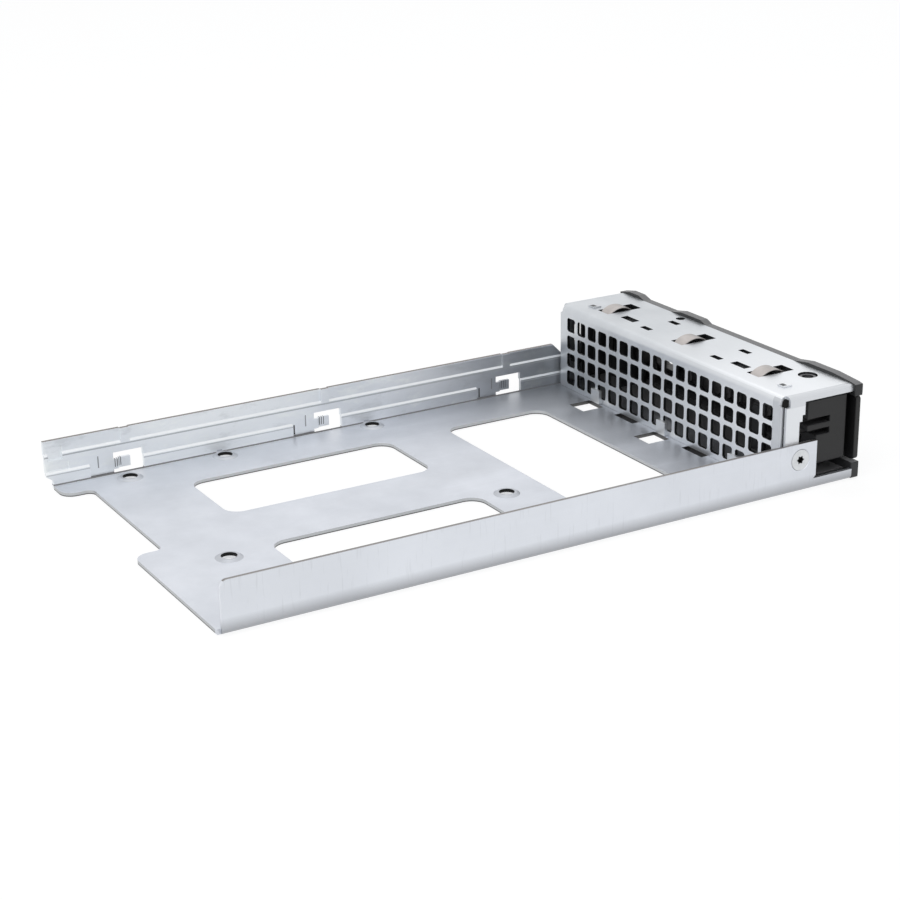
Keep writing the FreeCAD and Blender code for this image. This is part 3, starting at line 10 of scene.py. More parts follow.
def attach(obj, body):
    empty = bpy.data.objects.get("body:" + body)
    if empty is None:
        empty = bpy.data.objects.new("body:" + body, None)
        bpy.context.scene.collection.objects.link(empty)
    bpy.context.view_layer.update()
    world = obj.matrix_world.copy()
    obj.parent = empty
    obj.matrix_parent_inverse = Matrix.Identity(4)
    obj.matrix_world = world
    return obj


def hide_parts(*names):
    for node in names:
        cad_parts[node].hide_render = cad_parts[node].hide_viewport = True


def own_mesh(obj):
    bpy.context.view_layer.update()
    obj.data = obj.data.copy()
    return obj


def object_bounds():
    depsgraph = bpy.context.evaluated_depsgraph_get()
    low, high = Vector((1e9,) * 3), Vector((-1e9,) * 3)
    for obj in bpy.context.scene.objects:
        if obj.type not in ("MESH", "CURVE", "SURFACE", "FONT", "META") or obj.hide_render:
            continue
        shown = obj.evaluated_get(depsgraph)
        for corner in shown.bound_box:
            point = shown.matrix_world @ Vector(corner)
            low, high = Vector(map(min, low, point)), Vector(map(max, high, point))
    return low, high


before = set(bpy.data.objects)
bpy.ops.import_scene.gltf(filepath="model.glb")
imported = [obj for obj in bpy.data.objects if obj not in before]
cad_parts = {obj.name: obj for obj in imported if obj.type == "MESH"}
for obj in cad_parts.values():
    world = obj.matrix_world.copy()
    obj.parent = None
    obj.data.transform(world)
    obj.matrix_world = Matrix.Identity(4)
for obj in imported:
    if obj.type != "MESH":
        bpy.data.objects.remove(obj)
CAD_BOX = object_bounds()

# Camera, fitted to the photograph: where it looks from, and the point it looks at
CAMERA_AZIMUTH = math.radians(-30.0)
CAMERA_ELEVATION = math.radians(20.23)
CAMERA_ROLL = math.radians(-0.853)
CAMERA_DISTANCE = 0.5845
CAMERA_AIM = Vector((0.03092, 0.05450, -0.01414))
CAMERA_LENS = 80.89
SENSOR_WIDTH = 36.0

# Places on the tray that its material picks out, in metres
FLOOR_TOP = 0.0010
WALL_INSIDE = 0.0505
WALL_TOP = 0.0126
WALL_OUTSIDE = 0.0519
FAR_WALL = 0.0500
RIM_LINE = (-0.0523, -0.05185)
# The far front corner, round which the walls take painted shade
PAINTED_SHADE_CORNER = (0.0657, 0.0506)
LOWER_LEDGE = ((0.05067, 0.05113), (0.0041, 0.0049))
UPPER_LEDGE = ((0.05117, 0.05163), (0.0089, 0.0097))
# Bands under the ledges, painted as shade lines
UNDER_LOWER_LEDGE = ((0.0506, 0.0507), (0.0037, 0.0040))
UNDER_UPPER_LEDGE = ((0.0511, 0.0512), (0.0084, 0.0088))
LEDGE_FACE = (0.0015, 0.0042)
LEDGE_ENDS = (-0.0200, 0.0389)
HOOK_NOTCHES = (-0.0765, -0.0165, 0.0431)
NOTCH_HEIGHT = (0.0032, 0.0064)
TONGUE_ROOTS = (-0.0710, -0.0113, 0.0475)
TONGUE_HEIGHT = (0.0026, 0.0062)
TONGUE_HALF = 0.0011
RIDGE_PITCH = 0.0006
RIDGE_WIDTH = 0.00022
POCKETS = ((0.04, 0.07), (0.0001, 0.0007))
HOOKS = ((0.0640, 0.0658), (0.0012, 0.006))
HOOK_WINDOWS = (0.0560, 0.0660)
DIMPLE_TOP = 0.0017
DIMPLE_FOOT_RADIUS = 0.0036
DIMPLE_TOP_RADIUS = 0.0027
HOLE_RADIUS = 0.0021
# Height below which the bores take painted light
BORE_MIDDLE = 0.0006
SCREW_HOLES = (
    (-0.0701, -0.01611),
    (-0.0701, 0.04561),
    (0.0065, -0.01611),
    (-0.04253, -0.04813),
    (-0.04253, 0.04713),
    (0.00193, -0.04813),
    (0.00193, 0.04713),
)

# Places on the cage
VENT_SHEET = (0.0655, 0.0667)
VENT_HEIGHT = (0.0022, 0.0226)
VENT_REACH = 0.0486
PLATE_LENGTH = (0.0690, 0.0873)
PLATE_SHEET = (0.0243, 0.02533)
PLATE_REACH = 0.0490
# Across the cage, over which painted light pales the near end
NEAR_FADE = (-0.050, 0.010)
EAVE = (-0.0497, 0.0225)
POST_EDGE = -0.047
LOUVRE_TOP = 0.02560
LOUVRE_LENGTH = (0.0713, 0.0726)
LOUVRE_WIDTHS = ((-0.0440, -0.0422), (0.0412, 0.0430))

# Places on the screws' sockets and on the contact fingers
SOCKETS = (-0.0522, 0.0512)
# Along the fingers, where painted shade darkens their dive into the window
FINGER_DIVE = (0.0755, 0.0785)

# The lever's vents, hexagons in staggered rows (each row's level, its first column and the
# one past its last), and the finger opening's corners
CELL_PITCH = 0.0044
CELL_WIDTH = 0.0036
CELL_WALL = 0.00035
CELL_FIRST = -0.03265
CELL_LEVEL = 0.01335
CELL_BACK = 0.0865
CELL_FRONT = 0.0890
CELL_ROWS = ((-1, 3, 12), (0, 3, 11), (1, 3, 12))
GRIP = ((0.02195, 0.00865), (0.03095, 0.01805))
GRIP_RADIUS = 0.0015

# Studio
AMBIENT = 0.55
FLOOR_SIZE = 6.0
FLOOR_DROP = 0.0003
LAMPS = (
    ("key", (-0.35, -0.45, 0.85), (0.02, 0, 0), 1.2, 2.6),
    ("fill", (-0.9, -0.3, 0.35), (0.02, 0, 0.01), 0.8, 0.8),
    ("back", (0.3, 0.5, 1.0), (0.02, 0, 0.01), 0.6, 0.8),
)

# Which material each CAD node wears
WEARS = {
    "tray": "tray_steel",
    "front_cage": "cage_steel",
    "emi_finger_1": "contact_alloy",
    "emi_finger_2": "contact_alloy",
    "emi_finger_3": "contact_alloy",
    "side_screw_near": "screw_steel",
    "side_screw_far": "screw_steel",
    "bezel_frame": "grey_plastic",
    "ejector_lever": "black_plastic",
    "release_button": "black_plastic",
    "lever_pivot_pin": "pin_steel",
    "lever_spring": "spring_steel",
    "button_spring": "spring_steel",
}


class Shader:
    """A node tree with a Principled shader, and short ways to add to it."""

    def __init__(self, name, metallic, roughness):
        self.material = bpy.data.materials.new(name)
        self.material.use_nodes = True
        self.tree = self.material.node_tree
        self.surface = self.tree.nodes["Principled BSDF"]
        self.surface.inputs["Metallic"].default_value = metallic
        self.surface.inputs["Roughness"].default_value = roughness
        self.place = self.add("ShaderNodeTexCoord").outputs["Object"]

    def add(self, kind, **settings):
        node = self.tree.nodes.new(kind)
        for key, value in settings.items():
            setattr(node, key, value)
        return node

    def link(self, source, target):
        self.tree.links.new(source, target)

    def stretched(self, scale):
        """The object's own coordinates, stretched along each axis."""
        mapping = self.add("ShaderNodeMapping")
        mapping.inputs["Scale"].default_value = scale
        self.link(self.place, mapping.inputs["Vector"])
        return mapping.outputs["Vector"]

    def noise(self, scale, detail, roughness, stretch=None):
        node = self.add("ShaderNodeTexNoise")
        node.inputs["Scale"].default_value = scale
        node.inputs["Detail"].default_value = detail
        node.inputs["Roughness"].default_value = roughness
        place = self.place if stretch is None else self.stretched(stretch)
        self.link(place, node.inputs["Vector"])
        return node.outputs["Fac"]

    def spread(self, value, low, high, start=0.3, end=0.7):
        """Maps a value between start and end to one between low and high."""
        node = self.add("ShaderNodeMapRange")
        for key, number in (
            ("From Min", start),
            ("From Max", end),
            ("To Min", low),
            ("To Max", high),
        ):
            node.inputs[key].default_value = number
        self.link(value, node.inputs["Value"])
        return node.outputs["Result"]

    def ramp(self, value, stops):
        """Colours along a value; stops are (place, colour)."""
        node = self.add("ShaderNodeValToRGB")
        elements = node.color_ramp.elements
        while len(elements) < len(stops):
            elements.new(0.5)
        for element, (place, colour) in zip(elements, stops):
            element.position = place
            element.color = (*colour, 1)
        self.link(value, node.inputs["Fac"])
        return node.outputs["Color"]

    def mix(self, amount, first, second):
        """The first colour, with an amount of the second; each a number, colour or socket."""
        node = self.add("ShaderNodeMix", data_type="RGBA")
        for key, value in (("Factor", amount), ("A", first), ("B", second)):
            socket = next(s for s in node.inputs if s.name == key and s.enabled)
            if isinstance(value, bpy.types.NodeSocket):
                self.link(value, socket)
            elif isinstance(value, tuple):
                socket.default_value = (*value, 1)
            else:
                socket.default_value = value
        return next(s for s in node.outputs if s.enabled)

    def colour(self, output):
        self.link(output, self.surface.inputs["Base Color"])

    def rough(self, output):
        self.link(output, self.surface.inputs["Roughness"])

    def maths(self, kind, first, second=0.0):
        """An operation on one or two values, each a number or a socket."""
        node = self.add("ShaderNodeMath", operation=kind)
        for socket, value in zip(node.inputs, (first, second)):
            if isinstance(value, bpy.types.NodeSocket):
                self.link(value, socket)
            else:
                socket.default_value = value
        return node.outputs[0]

    def both(self, *masks):
        """1 where every mask is 1."""
        result = masks[0]
        for mask in masks[1:]:
            result = self.maths("MULTIPLY", result, mask)
        return result

    def either(self, *masks):
        """The largest of the masks."""
        result = masks[0]
        for mask in masks[1:]:
            result = self.maths("MAXIMUM", result, mask)
        return result

    def above(self, value, limit):
        return self.maths("GREATER_THAN", value, limit)

    def below(self, value, limit):
        return self.maths("LESS_THAN", value, limit)

    def size(self, value):
        return self.maths("ABSOLUTE", value)

    def axis(self, name, source=None):
        """One coordinate of the place on the piece, or of another vector."""
        node = self.add("ShaderNodeSeparateXYZ")
        self.link(source or self.place, node.inputs[0])
        return node.outputs[name]

    def facing(self, name):
        """How far a face looks along an axis of the piece, from -1 to 1."""
        return self.axis(name, self.add("ShaderNodeTexCoord").outputs["Normal"])

    def within(self, value, low, high):
        """1 where a value lies between low and high, else 0."""
        return self.both(self.above(value, low), self.below(value, high))

    def marks(self, places, half):
        """1 within half a width of any of the places along X."""
        along, nearest = self.axis("X"), 1.0
        for place in places:
            off = self.size(self.maths("SUBTRACT", along, place))
            nearest = self.maths("MINIMUM", off, nearest)
        return self.below(nearest, half)

    def distance(self, spots):
        """Distance from the nearest of the upright axes through the spots."""
        flat = self.stretched((1, 1, 0))
        nearest = 1.0
        for x, y in spots:
            node = self.add("ShaderNodeVectorMath", operation="DISTANCE")
            self.link(flat, node.inputs[0])
            node.inputs[1].default_value = (x, y, 0)
            nearest = self.maths("MINIMUM", node.outputs["Value"], nearest)
        return nearest

    def bump(self, output, strength, distance, edge):
        """Fine relief, over edges softened to a radius."""
        soft = self.add("ShaderNodeBevel", samples=6)
        soft.inputs["Radius"].default_value = edge
        node = self.add("ShaderNodeBump")
        self.link(soft.outputs["Normal"], node.inputs["Normal"])
        node.inputs["Strength"].default_value = strength
        node.inputs["Distance"].default_value = distance
        self.link(output, node.inputs["Height"])
        self.link(node.outputs["Normal"], self.surface.inputs["Normal"])


def rolled_steel(name, dark, light, roughness, grain):
    """Galvanised sheet: cloudy patches, a fine rolled grain and a few rubbed streaks."""
    shader = Shader(name, 0.85, roughness)
    clouds = shader.noise(55.0, 5.0, 0.6)
    patches = shader.ramp(clouds, [(0.32, dark), (0.68, light)])
    streaks = shader.noise(42.0, 6.0, 0.7, stretch=grain)
    rubbed = tuple(min(1.0, part * 1.08) for part in light)
    share = shader.spread(streaks, 0.0, 0.6, 0.55, 0.75)
    shader.rough(shader.spread(streaks, roughness - 0.06, roughness + 0.08))
    fine = shader.noise(900.0, 3.0, 0.6)
    shader.bump(fine, 0.08, 0.0002, 0.00015)
    return shader, shader.mix(share, patches, rubbed)


def wall_tones(shader):
    """Far wall with painted light towards its rear and blotches of its own; painted shade and a
    painted reflection of the dark cage round the far front corner; the near wall's outer side with
    painted light towards its rear, scratches and painted shade at its foot.
    """
    along, across, height = shader.axis("X"), shader.axis("Y"), shader.axis("Z")
    far = shader.above(across, FAR_WALL)
    outer = shader.below(across, -WALL_OUTSIDE)
    blotches = shader.noise(150.0, 5.0, 0.65, stretch=(0.6, 1.0, 1.6))
    scratches = shader.noise(340.0, 2.0, 0.5, stretch=(4.0, 0.0, 0.35))
    corner = shader.spread(shader.distance([PAINTED_SHADE_CORNER]), 0.62, 0.0, 0.002, 0.058)
    under_rim = shader.within(height, -1.0, WALL_TOP)
    return (
        # painted light: the far wall paler towards its rear
        (shader.both(far, shader.spread(along, 0.75, 0.0, -0.03, 0.05)), (0.91, 0.94, 0.955)),
        (shader.both(far, shader.spread(blotches, 0.0, 0.55, 0.54, 0.66)), (0.92, 0.95, 0.94)),
        (shader.both(far, shader.spread(blotches, 0.4, 0.0, 0.32, 0.44)), (0.56, 0.58, 0.60)),
        # painted shade and a painted reflection of the dark cage round the far front corner, below
        # the rim
        (shader.both(corner, under_rim), (0.20, 0.215, 0.23)),
        # painted light: the near wall's outer side paler towards its rear
        (shader.both(outer, shader.spread(along, 0.75, 0.35, -0.09, 0.06)), (0.84, 0.87, 0.92)),
        (shader.both(outer, shader.spread(scratches, 0.06, 0.2, 0.60, 0.72)), (0.42, 0.44, 0.47)),
        # painted shade: the near wall's outer side darker towards its foot, black along its bottom
        # edge
        (shader.both(outer, shader.spread(height, 0.85, 0.0, 0.0010, 0.0040)), (0.36, 0.37, 0.39)),
        (shader.both(outer, shader.below(height, 0.0003)), (0.10, 0.10, 0.10)),
    )


def edge_tones(shader):
    """The floor's cut edges in a darker grey, with painted shade at their foot and in the hook
    windows; the far wall's ledges as painted highlights with a painted shade line under each; and
    the rims.
    """
    along, across, height = shader.axis("X"), shader.axis("Y"), shader.axis("Z")
    up = shader.facing("Z")
    inside = shader.below(shader.size(across), WALL_INSIDE)
    level = shader.below(shader.size(up), 0.5)
    cut = shader.both(level, inside, shader.below(height, FLOOR_TOP + 0.0001))
    rim = shader.both(shader.above(up, 0.6), shader.above(height, WALL_TOP))
    near_rim = shader.both(rim, shader.within(across, *RIM_LINE))
    far_rim = shader.both(rim, shader.above(across, FAR_WALL))

    def band(place):
        return shader.both(shader.within(across, *place[0]), shader.within(height, *place[1]))

    return (
        # the cut edges a darker grey; painted shade in the hook windows and along their foot
        (cut, (0.50, 0.515, 0.53)),
        (shader.both(cut, shader.within(along, *HOOK_WINDOWS)), (0.10, 0.10, 0.10)),
        (shader.both(cut, shader.below(height, 0.00028)), (0.13, 0.13, 0.13)),
        # painted highlight: the ledges an even pale grey
        (band(LOWER_LEDGE), (0.77, 0.79, 0.81)),
        (band(UPPER_LEDGE), (0.77, 0.79, 0.81)),
        # painted shade: a darker line under each ledge
        (band(UNDER_UPPER_LEDGE), (0.50, 0.52, 0.54)),
        (band(UNDER_LOWER_LEDGE), (0.60, 0.62, 0.64)),
        (rim, (0.40, 0.40, 0.41)),
        (shader.either(near_rim, far_rim), (0.22, 0.20, 0.19)),
    )


def press_tones(shader):
    """Painted shade in the pockets at the front, the hooks' grey, a painted shadow in the far
    wall's crease, and painted shade lines at the far wall's ledge ends, notches and tongue ribs.
    """
    along, across, height = shader.axis("X"), shader.axis("Y"), shader.axis("Z")
    top = shader.above(shader.facing("Z"), 0.6)
    inside = shader.below(shader.size(across), WALL_INSIDE)
    far = shader.above(across, FAR_WALL)
    crease_shadow = shader.within(height, FLOOR_TOP, FLOOR_TOP + 0.0003)
    ridges = shader.below(shader.maths("FLOORED_MODULO", along, RIDGE_PITCH), RIDGE_WIDTH)
    pocket_x, pocket_z = POCKETS
    hook_x, hook_z = HOOKS
    pocket_shade = shader.both(top, shader.within(height, *pocket_z), shader.within(along, *pocket_x))
    hooks = shader.both(inside, shader.within(along, *hook_x), shader.within(height, *hook_z))
    ledge_end_shade = shader.both(
        far, shader.within(height, *LEDGE_FACE), shader.marks(LEDGE_ENDS, 0.00022)
    )
    notch_shade = shader.both(
        far, shader.within(height, *NOTCH_HEIGHT), shader.marks(HOOK_NOTCHES, 0.00016)
    )
    tongue_rib_shade = shader.both(
        far, shader.within(height, *TONGUE_HEIGHT), shader.marks(TONGUE_ROOTS, TONGUE_HALF), ridges
    )
    return (
        # painted shade filling the pockets
        (pocket_shade, (0.05, 0.052, 0.055)),
        (hooks, (0.68, 0.70, 0.72)),
        # painted shadow in the crease at the foot of the far wall
        (shader.both(far, crease_shadow), (0.22, 0.22, 0.23)),
        # painted shade lines at the ledge ends, the notches and the tongues' ribs
        (ledge_end_shade, (0.10, 0.10, 0.10)),
        (notch_shade, (0.32, 0.32, 0.33)),
        (tongue_rib_shade, (0.14, 0.14, 0.145)),
    )


def hole_tones(shader):
    """Dimples round the screw holes painted darker as painted shade against their highlight, and
    bores with painted shade above and painted light below.
    """
    height, up = shader.axis("Z"), shader.facing("Z")
    holes = shader.distance(SCREW_HOLES)
    low = shader.below(height, DIMPLE_TOP)
    bore = shader.both(shader.below(shader.size(up), 0.5), shader.below(holes, HOLE_RADIUS))
    foot = shader.both(shader.below(holes, DIMPLE_FOOT_RADIUS), shader.below(up, 0.99))
    flat = shader.both(shader.below(holes, DIMPLE_TOP_RADIUS), shader.above(up, 0.99))
    return (
        # painted shade: the dimples darker, against their highlight
        (shader.both(low, foot), (0.54, 0.56, 0.60)),
        (shader.both(low, flat), (0.52, 0.54, 0.58)),
        # painted shade in the bores, with painted light in their lower half
        (shader.both(low, bore), (0.015, 0.015, 0.015)),
        (shader.both(shader.below(height, BORE_MIDDLE), bore), (0.82, 0.83, 0.85)),
    )


def tray_steel():
    """The tray's sheet, with each later tone laid over the ones before it."""
    dark, light = (0.63, 0.655, 0.705), (0.73, 0.755, 0.81)
    shader, tone = rolled_steel("tray_steel", dark, light, 0.40, (0.12, 2.2, 2.2))
    for tones in (wall_tones, edge_tones, press_tones, hole_tones):
        for mask, colour in tones(shader):
            tone = shader.mix(mask, tone, colour)
    shader.colour(tone)
    return shader.material


def cage_steel():
    """The cage's sheet: painted light on its near end, more on near top faces, and painted shade on
    the cut sides of vents and slots and in the louvre mouths.
    """
    dark, light = (0.57, 0.595, 0.625), (0.66, 0.685, 0.715)
    shader, tone = rolled_steel("cage_steel", dark, light, 0.38, (2.2, 0.12, 2.2))
    along, across, height = shader.axis("X"), shader.axis("Y"), shader.axis("Z")
    side = shader.size(across)
    flat_x = shader.size(shader.facing("X"))
    flat_z = shader.size(shader.facing("Z"))
    vents = shader.both(
        shader.below(flat_x, 0.5),
        shader.within(along, *VENT_SHEET),
        shader.within(height, *VENT_HEIGHT),
        shader.below(side, VENT_REACH),
    )
    slots = shader.both(
        shader.below(flat_z, 0.5),
        shader.within(along, *PLATE_LENGTH),
        shader.within(height, *PLATE_SHEET),
        shader.below(side, PLATE_REACH),
    )
    louvres = shader.either(*(shader.within(across, *width) for width in LOUVRE_WIDTHS))
    mouths = shader.both(
        shader.above(height, LOUVRE_TOP), shader.within(along, *LOUVRE_LENGTH), louvres
    )
    near = shader.spread(across, 0.7, 0.0, *NEAR_FADE)
    top = shader.above(flat_z, 0.7)
    eave_y, eave_z = EAVE
    eave = shader.both(shader.below(across, eave_y), shader.above(height, eave_z))
    post = shader.both(shader.above(flat_x, 0.7), shader.below(across, POST_EDGE))
    for mask, colour in (
        # painted light: paler towards the near side, most on top faces
        (near, (0.84, 0.86, 0.89)),
        (shader.both(top, near), (0.91, 0.93, 0.96)),
        (eave, (0.68, 0.70, 0.73)),
        (post, (0.60, 0.62, 0.65)),
        # painted shade on the cut sides of vents and slots and in the louvre mouths
        (shader.either(vents, slots, mouths), (0.045, 0.047, 0.05)),
    ):
        tone = shader.mix(mask, tone, colour)
    shader.colour(tone)
    return shader.material


def contact_alloy():
    """Pale contact fingers, with painted shade where they dive back into their window."""
    shader = Shader("contact_alloy", 0.85, 0.34)
    mottle = shader.noise(320.0, 4.0, 0.6)
    tone = shader.ramp(mottle, [(0.3, (0.46, 0.43, 0.415)), (0.7, (0.57, 0.535, 0.52))])
    # painted shade where the fingers dive into their window
    dive_shade = shader.spread(shader.axis("X"), 0.0, 0.5, *FINGER_DIVE)
    shader.colour(shader.mix(dive_shade, tone, (0.10, 0.095, 0.09)))
    shader.rough(shader.spread(mottle, 0.28, 0.42))
    return shader.material


def screw_steel():
    """Flat screw heads with painted shade in the socket."""
    shader = Shader("screw_steel", 0.9, 0.3)
    mottle = shader.noise(420.0, 4.0, 0.6)
    tone = shader.ramp(mottle, [(0.3, (0.60, 0.62, 0.64)), (0.7, (0.74, 0.76, 0.78))])
    # painted shade in the socket
    socket_shade = shader.within(shader.axis("Y"), *SOCKETS)
    shader.colour(shader.mix(socket_shade, tone, (0.03, 0.03, 0.03)))
    shader.rough(shader.spread(mottle, 0.24, 0.40))
    return shader.material


def bright_metal(name, dark, light, roughness):
    """Small bare metal pieces, with a slight mottle."""
    shader = Shader(name, 0.9, roughness)
    mottle = shader.noise(320.0, 4.0, 0.6)
    shader.colour(shader.ramp(mottle, [(0.3, dark), (0.7, light)]))
    shader.rough(shader.spread(mottle, roughness - 0.06, roughness + 0.08))
    shader.bump(mottle, 0.05, 0.0001, 0.0001)
    return shader.material


def moulded_plastic(name, dark, light, roughness, top_sheen):
    """Moulded plastic with a fine eroded grain, paler on top faces as a painted sheen."""
    shader = Shader(name, 0.0, roughness)
    shader.surface.inputs["Specular IOR Level"].default_value = 0.4
    clouds = shader.noise(60.0, 3.0, 0.5)
    tone = shader.ramp(clouds, [(0.3, dark), (0.7, light)])
    # painted sheen: top faces paler
    top = shader.spread(shader.facing("Z"), 0.0, 1.0, 0.35, 0.95)
    shader.colour(shader.mix(top, tone, top_sheen))
    grain = shader.noise(2600.0, 2.0, 0.6)
    shader.rough(shader.spread(grain, roughness - 0.05, roughness + 0.07))
    shader.bump(grain, 0.16, 0.0001, 0.0006)
    return shader.material


def make_materials():
    return {
        "tray_steel": tray_steel(),
        "cage_steel": cage_steel(),
        "contact_alloy": contact_alloy(),
        "screw_steel": screw_steel(),
        "pin_steel": bright_metal("pin_steel", (0.16, 0.16, 0.17), (0.26, 0.26, 0.27), 0.35),
        "spring_steel": bright_metal(
            "spring_steel", (0.30, 0.30, 0.31), (0.45, 0.45, 0.46), 0.30
        ),
        # the last colour of each plastic is its painted sheen on top
        "grey_plastic": moulded_plastic(
            "grey_plastic", (0.020, 0.021, 0.022), (0.030, 0.031, 0.033), 0.44, (0.18, 0.18, 0.185)
        ),
        "black_plastic": moulded_plastic(
            "black_plastic", (0.008, 0.008, 0.009), (0.014, 0.014, 0.015), 0.42, (0.03, 0.03, 0.032)
        ),
    }


def dress(materials):
    for node, wear in WEARS.items():
        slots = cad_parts[node].data.materials
        slots.clear()
        slots.append(materials[wear])


def hexagon(bm, y, z, width, x):
    """Six corners of a hexagon with two upright sides, facing along X."""
    half, point = width / 2, width / math.sqrt(3)
    corners = (
        (-half, -point / 2),
        (0, -point),
        (half, -point / 2),
        (half, point / 2),
        (0, point),
        (-half, point / 2),
    )
    return [bm.verts.new((x, y + dy, z + dz)) for dy, dz in corners]


def tube(bm, outer_back, inner_back, outer_front, inner_front):
    """Closes a tube between four matching rings."""
    count = len(outer_back)
    for low in range(count):
        high = (low + 1) % count
        for first, second in (
            (outer_back, outer_front),
            (inner_front, inner_back),
            (inner_back, outer_back),
            (outer_front, inner_front),
        ):
            bm.faces.new((first[low], first[high], second[high], second[low]))


def rounded(left, bottom, right, top, radius, steps=6):
    """Outline of a rectangle with rounded corners."""
    centres = (
        (right - radius, top - radius),
        (left + radius, top - radius),
        (left + radius, bottom + radius),
        (right - radius, bottom + radius),
    )
    points = []
    for quarter, (x, y) in enumerate(centres):
        for step in range(steps + 1):
            angle = math.pi / 2 * (quarter + step / steps)
            points.append((x + radius * math.cos(angle), y + radius * math.sin(angle)))
    return points


def make_cells(material):
    """The moulded depth of the lever's vents and of its finger opening, behind its plate."""
    bm = bmesh.new()
    rise = CELL_PITCH * math.sqrt(3) / 2
    for level, first, columns in CELL_ROWS:
        shift = CELL_PITCH / 2 if level == 0 else 0.0
        for column in range(first, columns):
            y = CELL_FIRST + shift + column * CELL_PITCH
            z = CELL_LEVEL + level * rise
            rings = [
                hexagon(bm, y, z, width, x)
                for x in (CELL_BACK, CELL_FRONT)
                for width in (CELL_WIDTH + 2 * CELL_WALL, CELL_WIDTH)
            ]
            tube(bm, *rings)
    low, high = GRIP
    rings = []
    for x in (CELL_BACK, CELL_FRONT):
        for out in (CELL_WALL * 2, 0.0):
            left, bottom = low[0] - out, low[1] - out
            corners = rounded(left, bottom, high[0] + out, high[1] + out, GRIP_RADIUS + out)
            rings.append([bm.verts.new((x, y, z)) for y, z in corners])
    tube(bm, *rings)
    bmesh.ops.recalc_face_normals(bm, faces=bm.faces)
    mesh = bpy.data.meshes.new("lever_cells")
    bm.to_mesh(mesh)
    bm.free()
    mesh.materials.append(material)
    cells = bpy.data.objects.new("lever_cells", mesh)
    bpy.context.scene.collection.objects.link(cells)
    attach(cells, "lever")


def make_button_coil(material):
    """The button's spring, copied from its CAD node onto the caddy."""
    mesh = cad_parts["button_spring"].data.copy()
    mesh.materials.clear()
    mesh.materials.append(material)
    coil = bpy.data.objects.new("button_coil", mesh)
    bpy.context.scene.collection.objects.link(coil)
    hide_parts("button_spring")
    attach(coil, "caddy")
    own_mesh(coil)


def light_path(tree):
    """1 for rays from the camera and for mirror and glass rays, else 0."""
    path = tree.nodes.new("ShaderNodeLightPath")
    total = path.outputs["Is Camera Ray"]
    for name in ("Is Glossy Ray", "Is Transmission Ray"):
        either = tree.nodes.new("ShaderNodeMath")
        either.operation = "MAXIMUM"
        tree.links.new(total, either.inputs[0])
        tree.links.new(path.outputs[name], either.inputs[1])
        total = either.outputs[0]
    return total


def make_world(ambient):
    """Even pale surroundings, white to the camera and in reflections."""
    world = bpy.data.worlds.new("studio")
    bpy.context.scene.world = world
    world.use_nodes = True
    tree = world.node_tree
    tree.nodes.clear()
    output = tree.nodes.new("ShaderNodeOutputWorld")
    mix = tree.nodes.new("ShaderNodeMixShader")
    seen = tree.nodes.new("ShaderNodeBackground")
    seen.inputs["Color"].default_value = (1, 1, 1, 1)
    lit = tree.nodes.new("ShaderNodeBackground")
    lit.inputs["Color"].default_value = (0.97, 0.985, 1, 1)
    lit.inputs["Strength"].default_value = ambient
    tree.links.new(light_path(tree), mix.inputs["Fac"])
    tree.links.new(lit.outputs[0], mix.inputs[1])
    tree.links.new(seen.outputs[0], mix.inputs[2])
    tree.links.new(mix.outputs[0], output.inputs["Surface"])


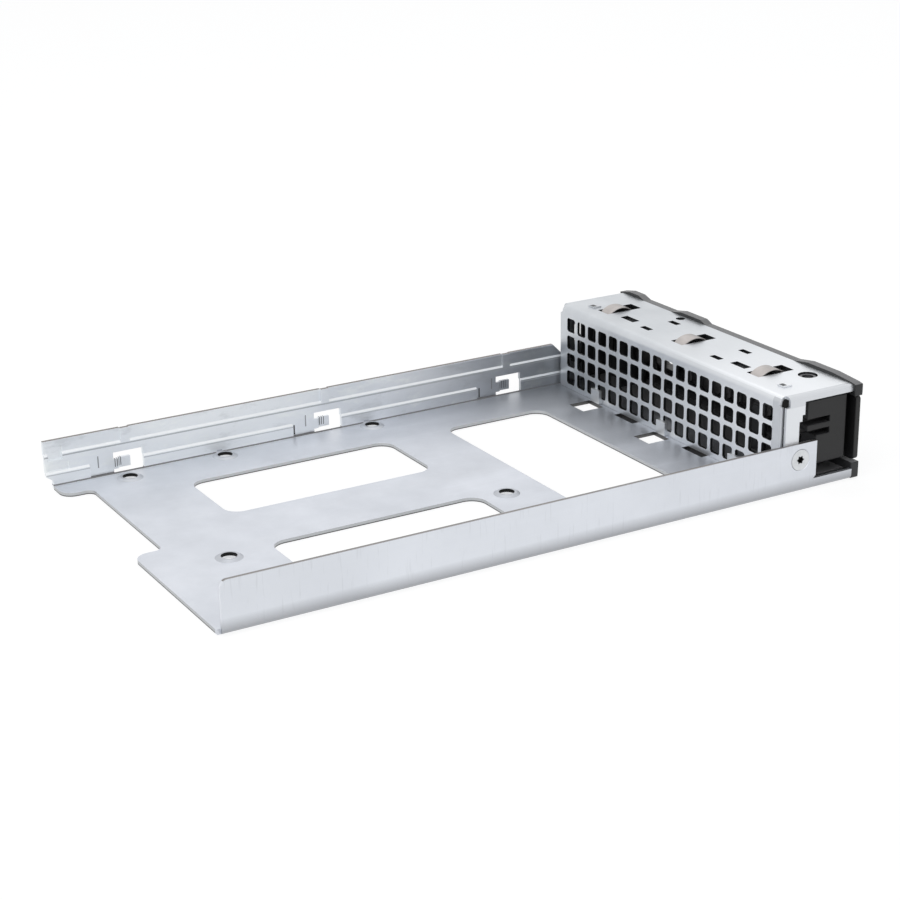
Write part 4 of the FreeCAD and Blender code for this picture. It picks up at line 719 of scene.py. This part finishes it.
def make_floor(size):
    """A plain white floor that keeps a faint shadow of the object."""
    bpy.ops.mesh.primitive_plane_add(size=size, location=(0, 0, CAD_BOX[0][2] - FLOOR_DROP))
    floor = bpy.context.object
    floor.name = "studio_floor"
    material = bpy.data.materials.new("floor_white")
    material.use_nodes = True
    tree = material.node_tree
    tree.nodes.clear()
    output = tree.nodes.new("ShaderNodeOutputMaterial")
    diffuse = tree.nodes.new("ShaderNodeBsdfDiffuse")
    diffuse.inputs["Color"].default_value = (0.8, 0.8, 0.8, 1)
    faint = tree.nodes.new("ShaderNodeBsdfDiffuse")
    faint.inputs["Color"].default_value = (0.24, 0.24, 0.24, 1)
    glow = tree.nodes.new("ShaderNodeEmission")
    glow.inputs["Color"].default_value = (1, 1, 1, 1)
    glow.inputs["Strength"].default_value = 0.84
    seen = tree.nodes.new("ShaderNodeAddShader")
    mix = tree.nodes.new("ShaderNodeMixShader")
    factor = light_path(tree)
    tree.links.new(faint.outputs[0], seen.inputs[0])
    tree.links.new(glow.outputs[0], seen.inputs[1])
    tree.links.new(factor, mix.inputs["Fac"])
    tree.links.new(diffuse.outputs[0], mix.inputs[1])
    tree.links.new(seen.outputs[0], mix.inputs[2])
    tree.links.new(mix.outputs[0], output.inputs["Surface"])
    floor.data.materials.append(material)


def make_lamp(name, place, target, size, power):
    data = bpy.data.lights.new(name, "AREA")
    data.shape = "DISK"
    data.size = size
    data.energy = power
    lamp = bpy.data.objects.new(name, data)
    bpy.context.scene.collection.objects.link(lamp)
    lamp.location = place
    lamp.rotation_euler = (Vector(target) - Vector(place)).to_track_quat("-Z", "Y").to_euler()


def make_camera():
    """Camera at the photograph's angle, turned slightly about its own axis."""
    cos_a, sin_a = math.cos(CAMERA_AZIMUTH), math.sin(CAMERA_AZIMUTH)
    cos_e, sin_e = math.cos(CAMERA_ELEVATION), math.sin(CAMERA_ELEVATION)
    back = Vector((sin_a * cos_e, -cos_a * cos_e, sin_e))
    level = Vector((cos_a, sin_a, 0))
    upright = back.cross(level)
    cos_r, sin_r = math.cos(CAMERA_ROLL), math.sin(CAMERA_ROLL)
    right = level * cos_r + upright * sin_r
    up = upright * cos_r - level * sin_r
    data = bpy.data.cameras.new("camera")
    data.sensor_width = SENSOR_WIDTH
    data.lens = CAMERA_LENS
    camera = bpy.data.objects.new("camera", data)
    bpy.context.scene.collection.objects.link(camera)
    turn = Matrix((right, up, back)).transposed().to_4x4()
    camera.matrix_world = Matrix.Translation(CAMERA_AIM + back * CAMERA_DISTANCE) @ turn
    bpy.context.scene.camera = camera


materials = make_materials()
dress(materials)
make_cells(materials["black_plastic"])
make_button_coil(materials["spring_steel"])
make_world(AMBIENT)
make_floor(FLOOR_SIZE)
for lamp in LAMPS:
    make_lamp(*lamp)
make_camera()
bpy.context.scene.view_settings.view_transform = "Standard"
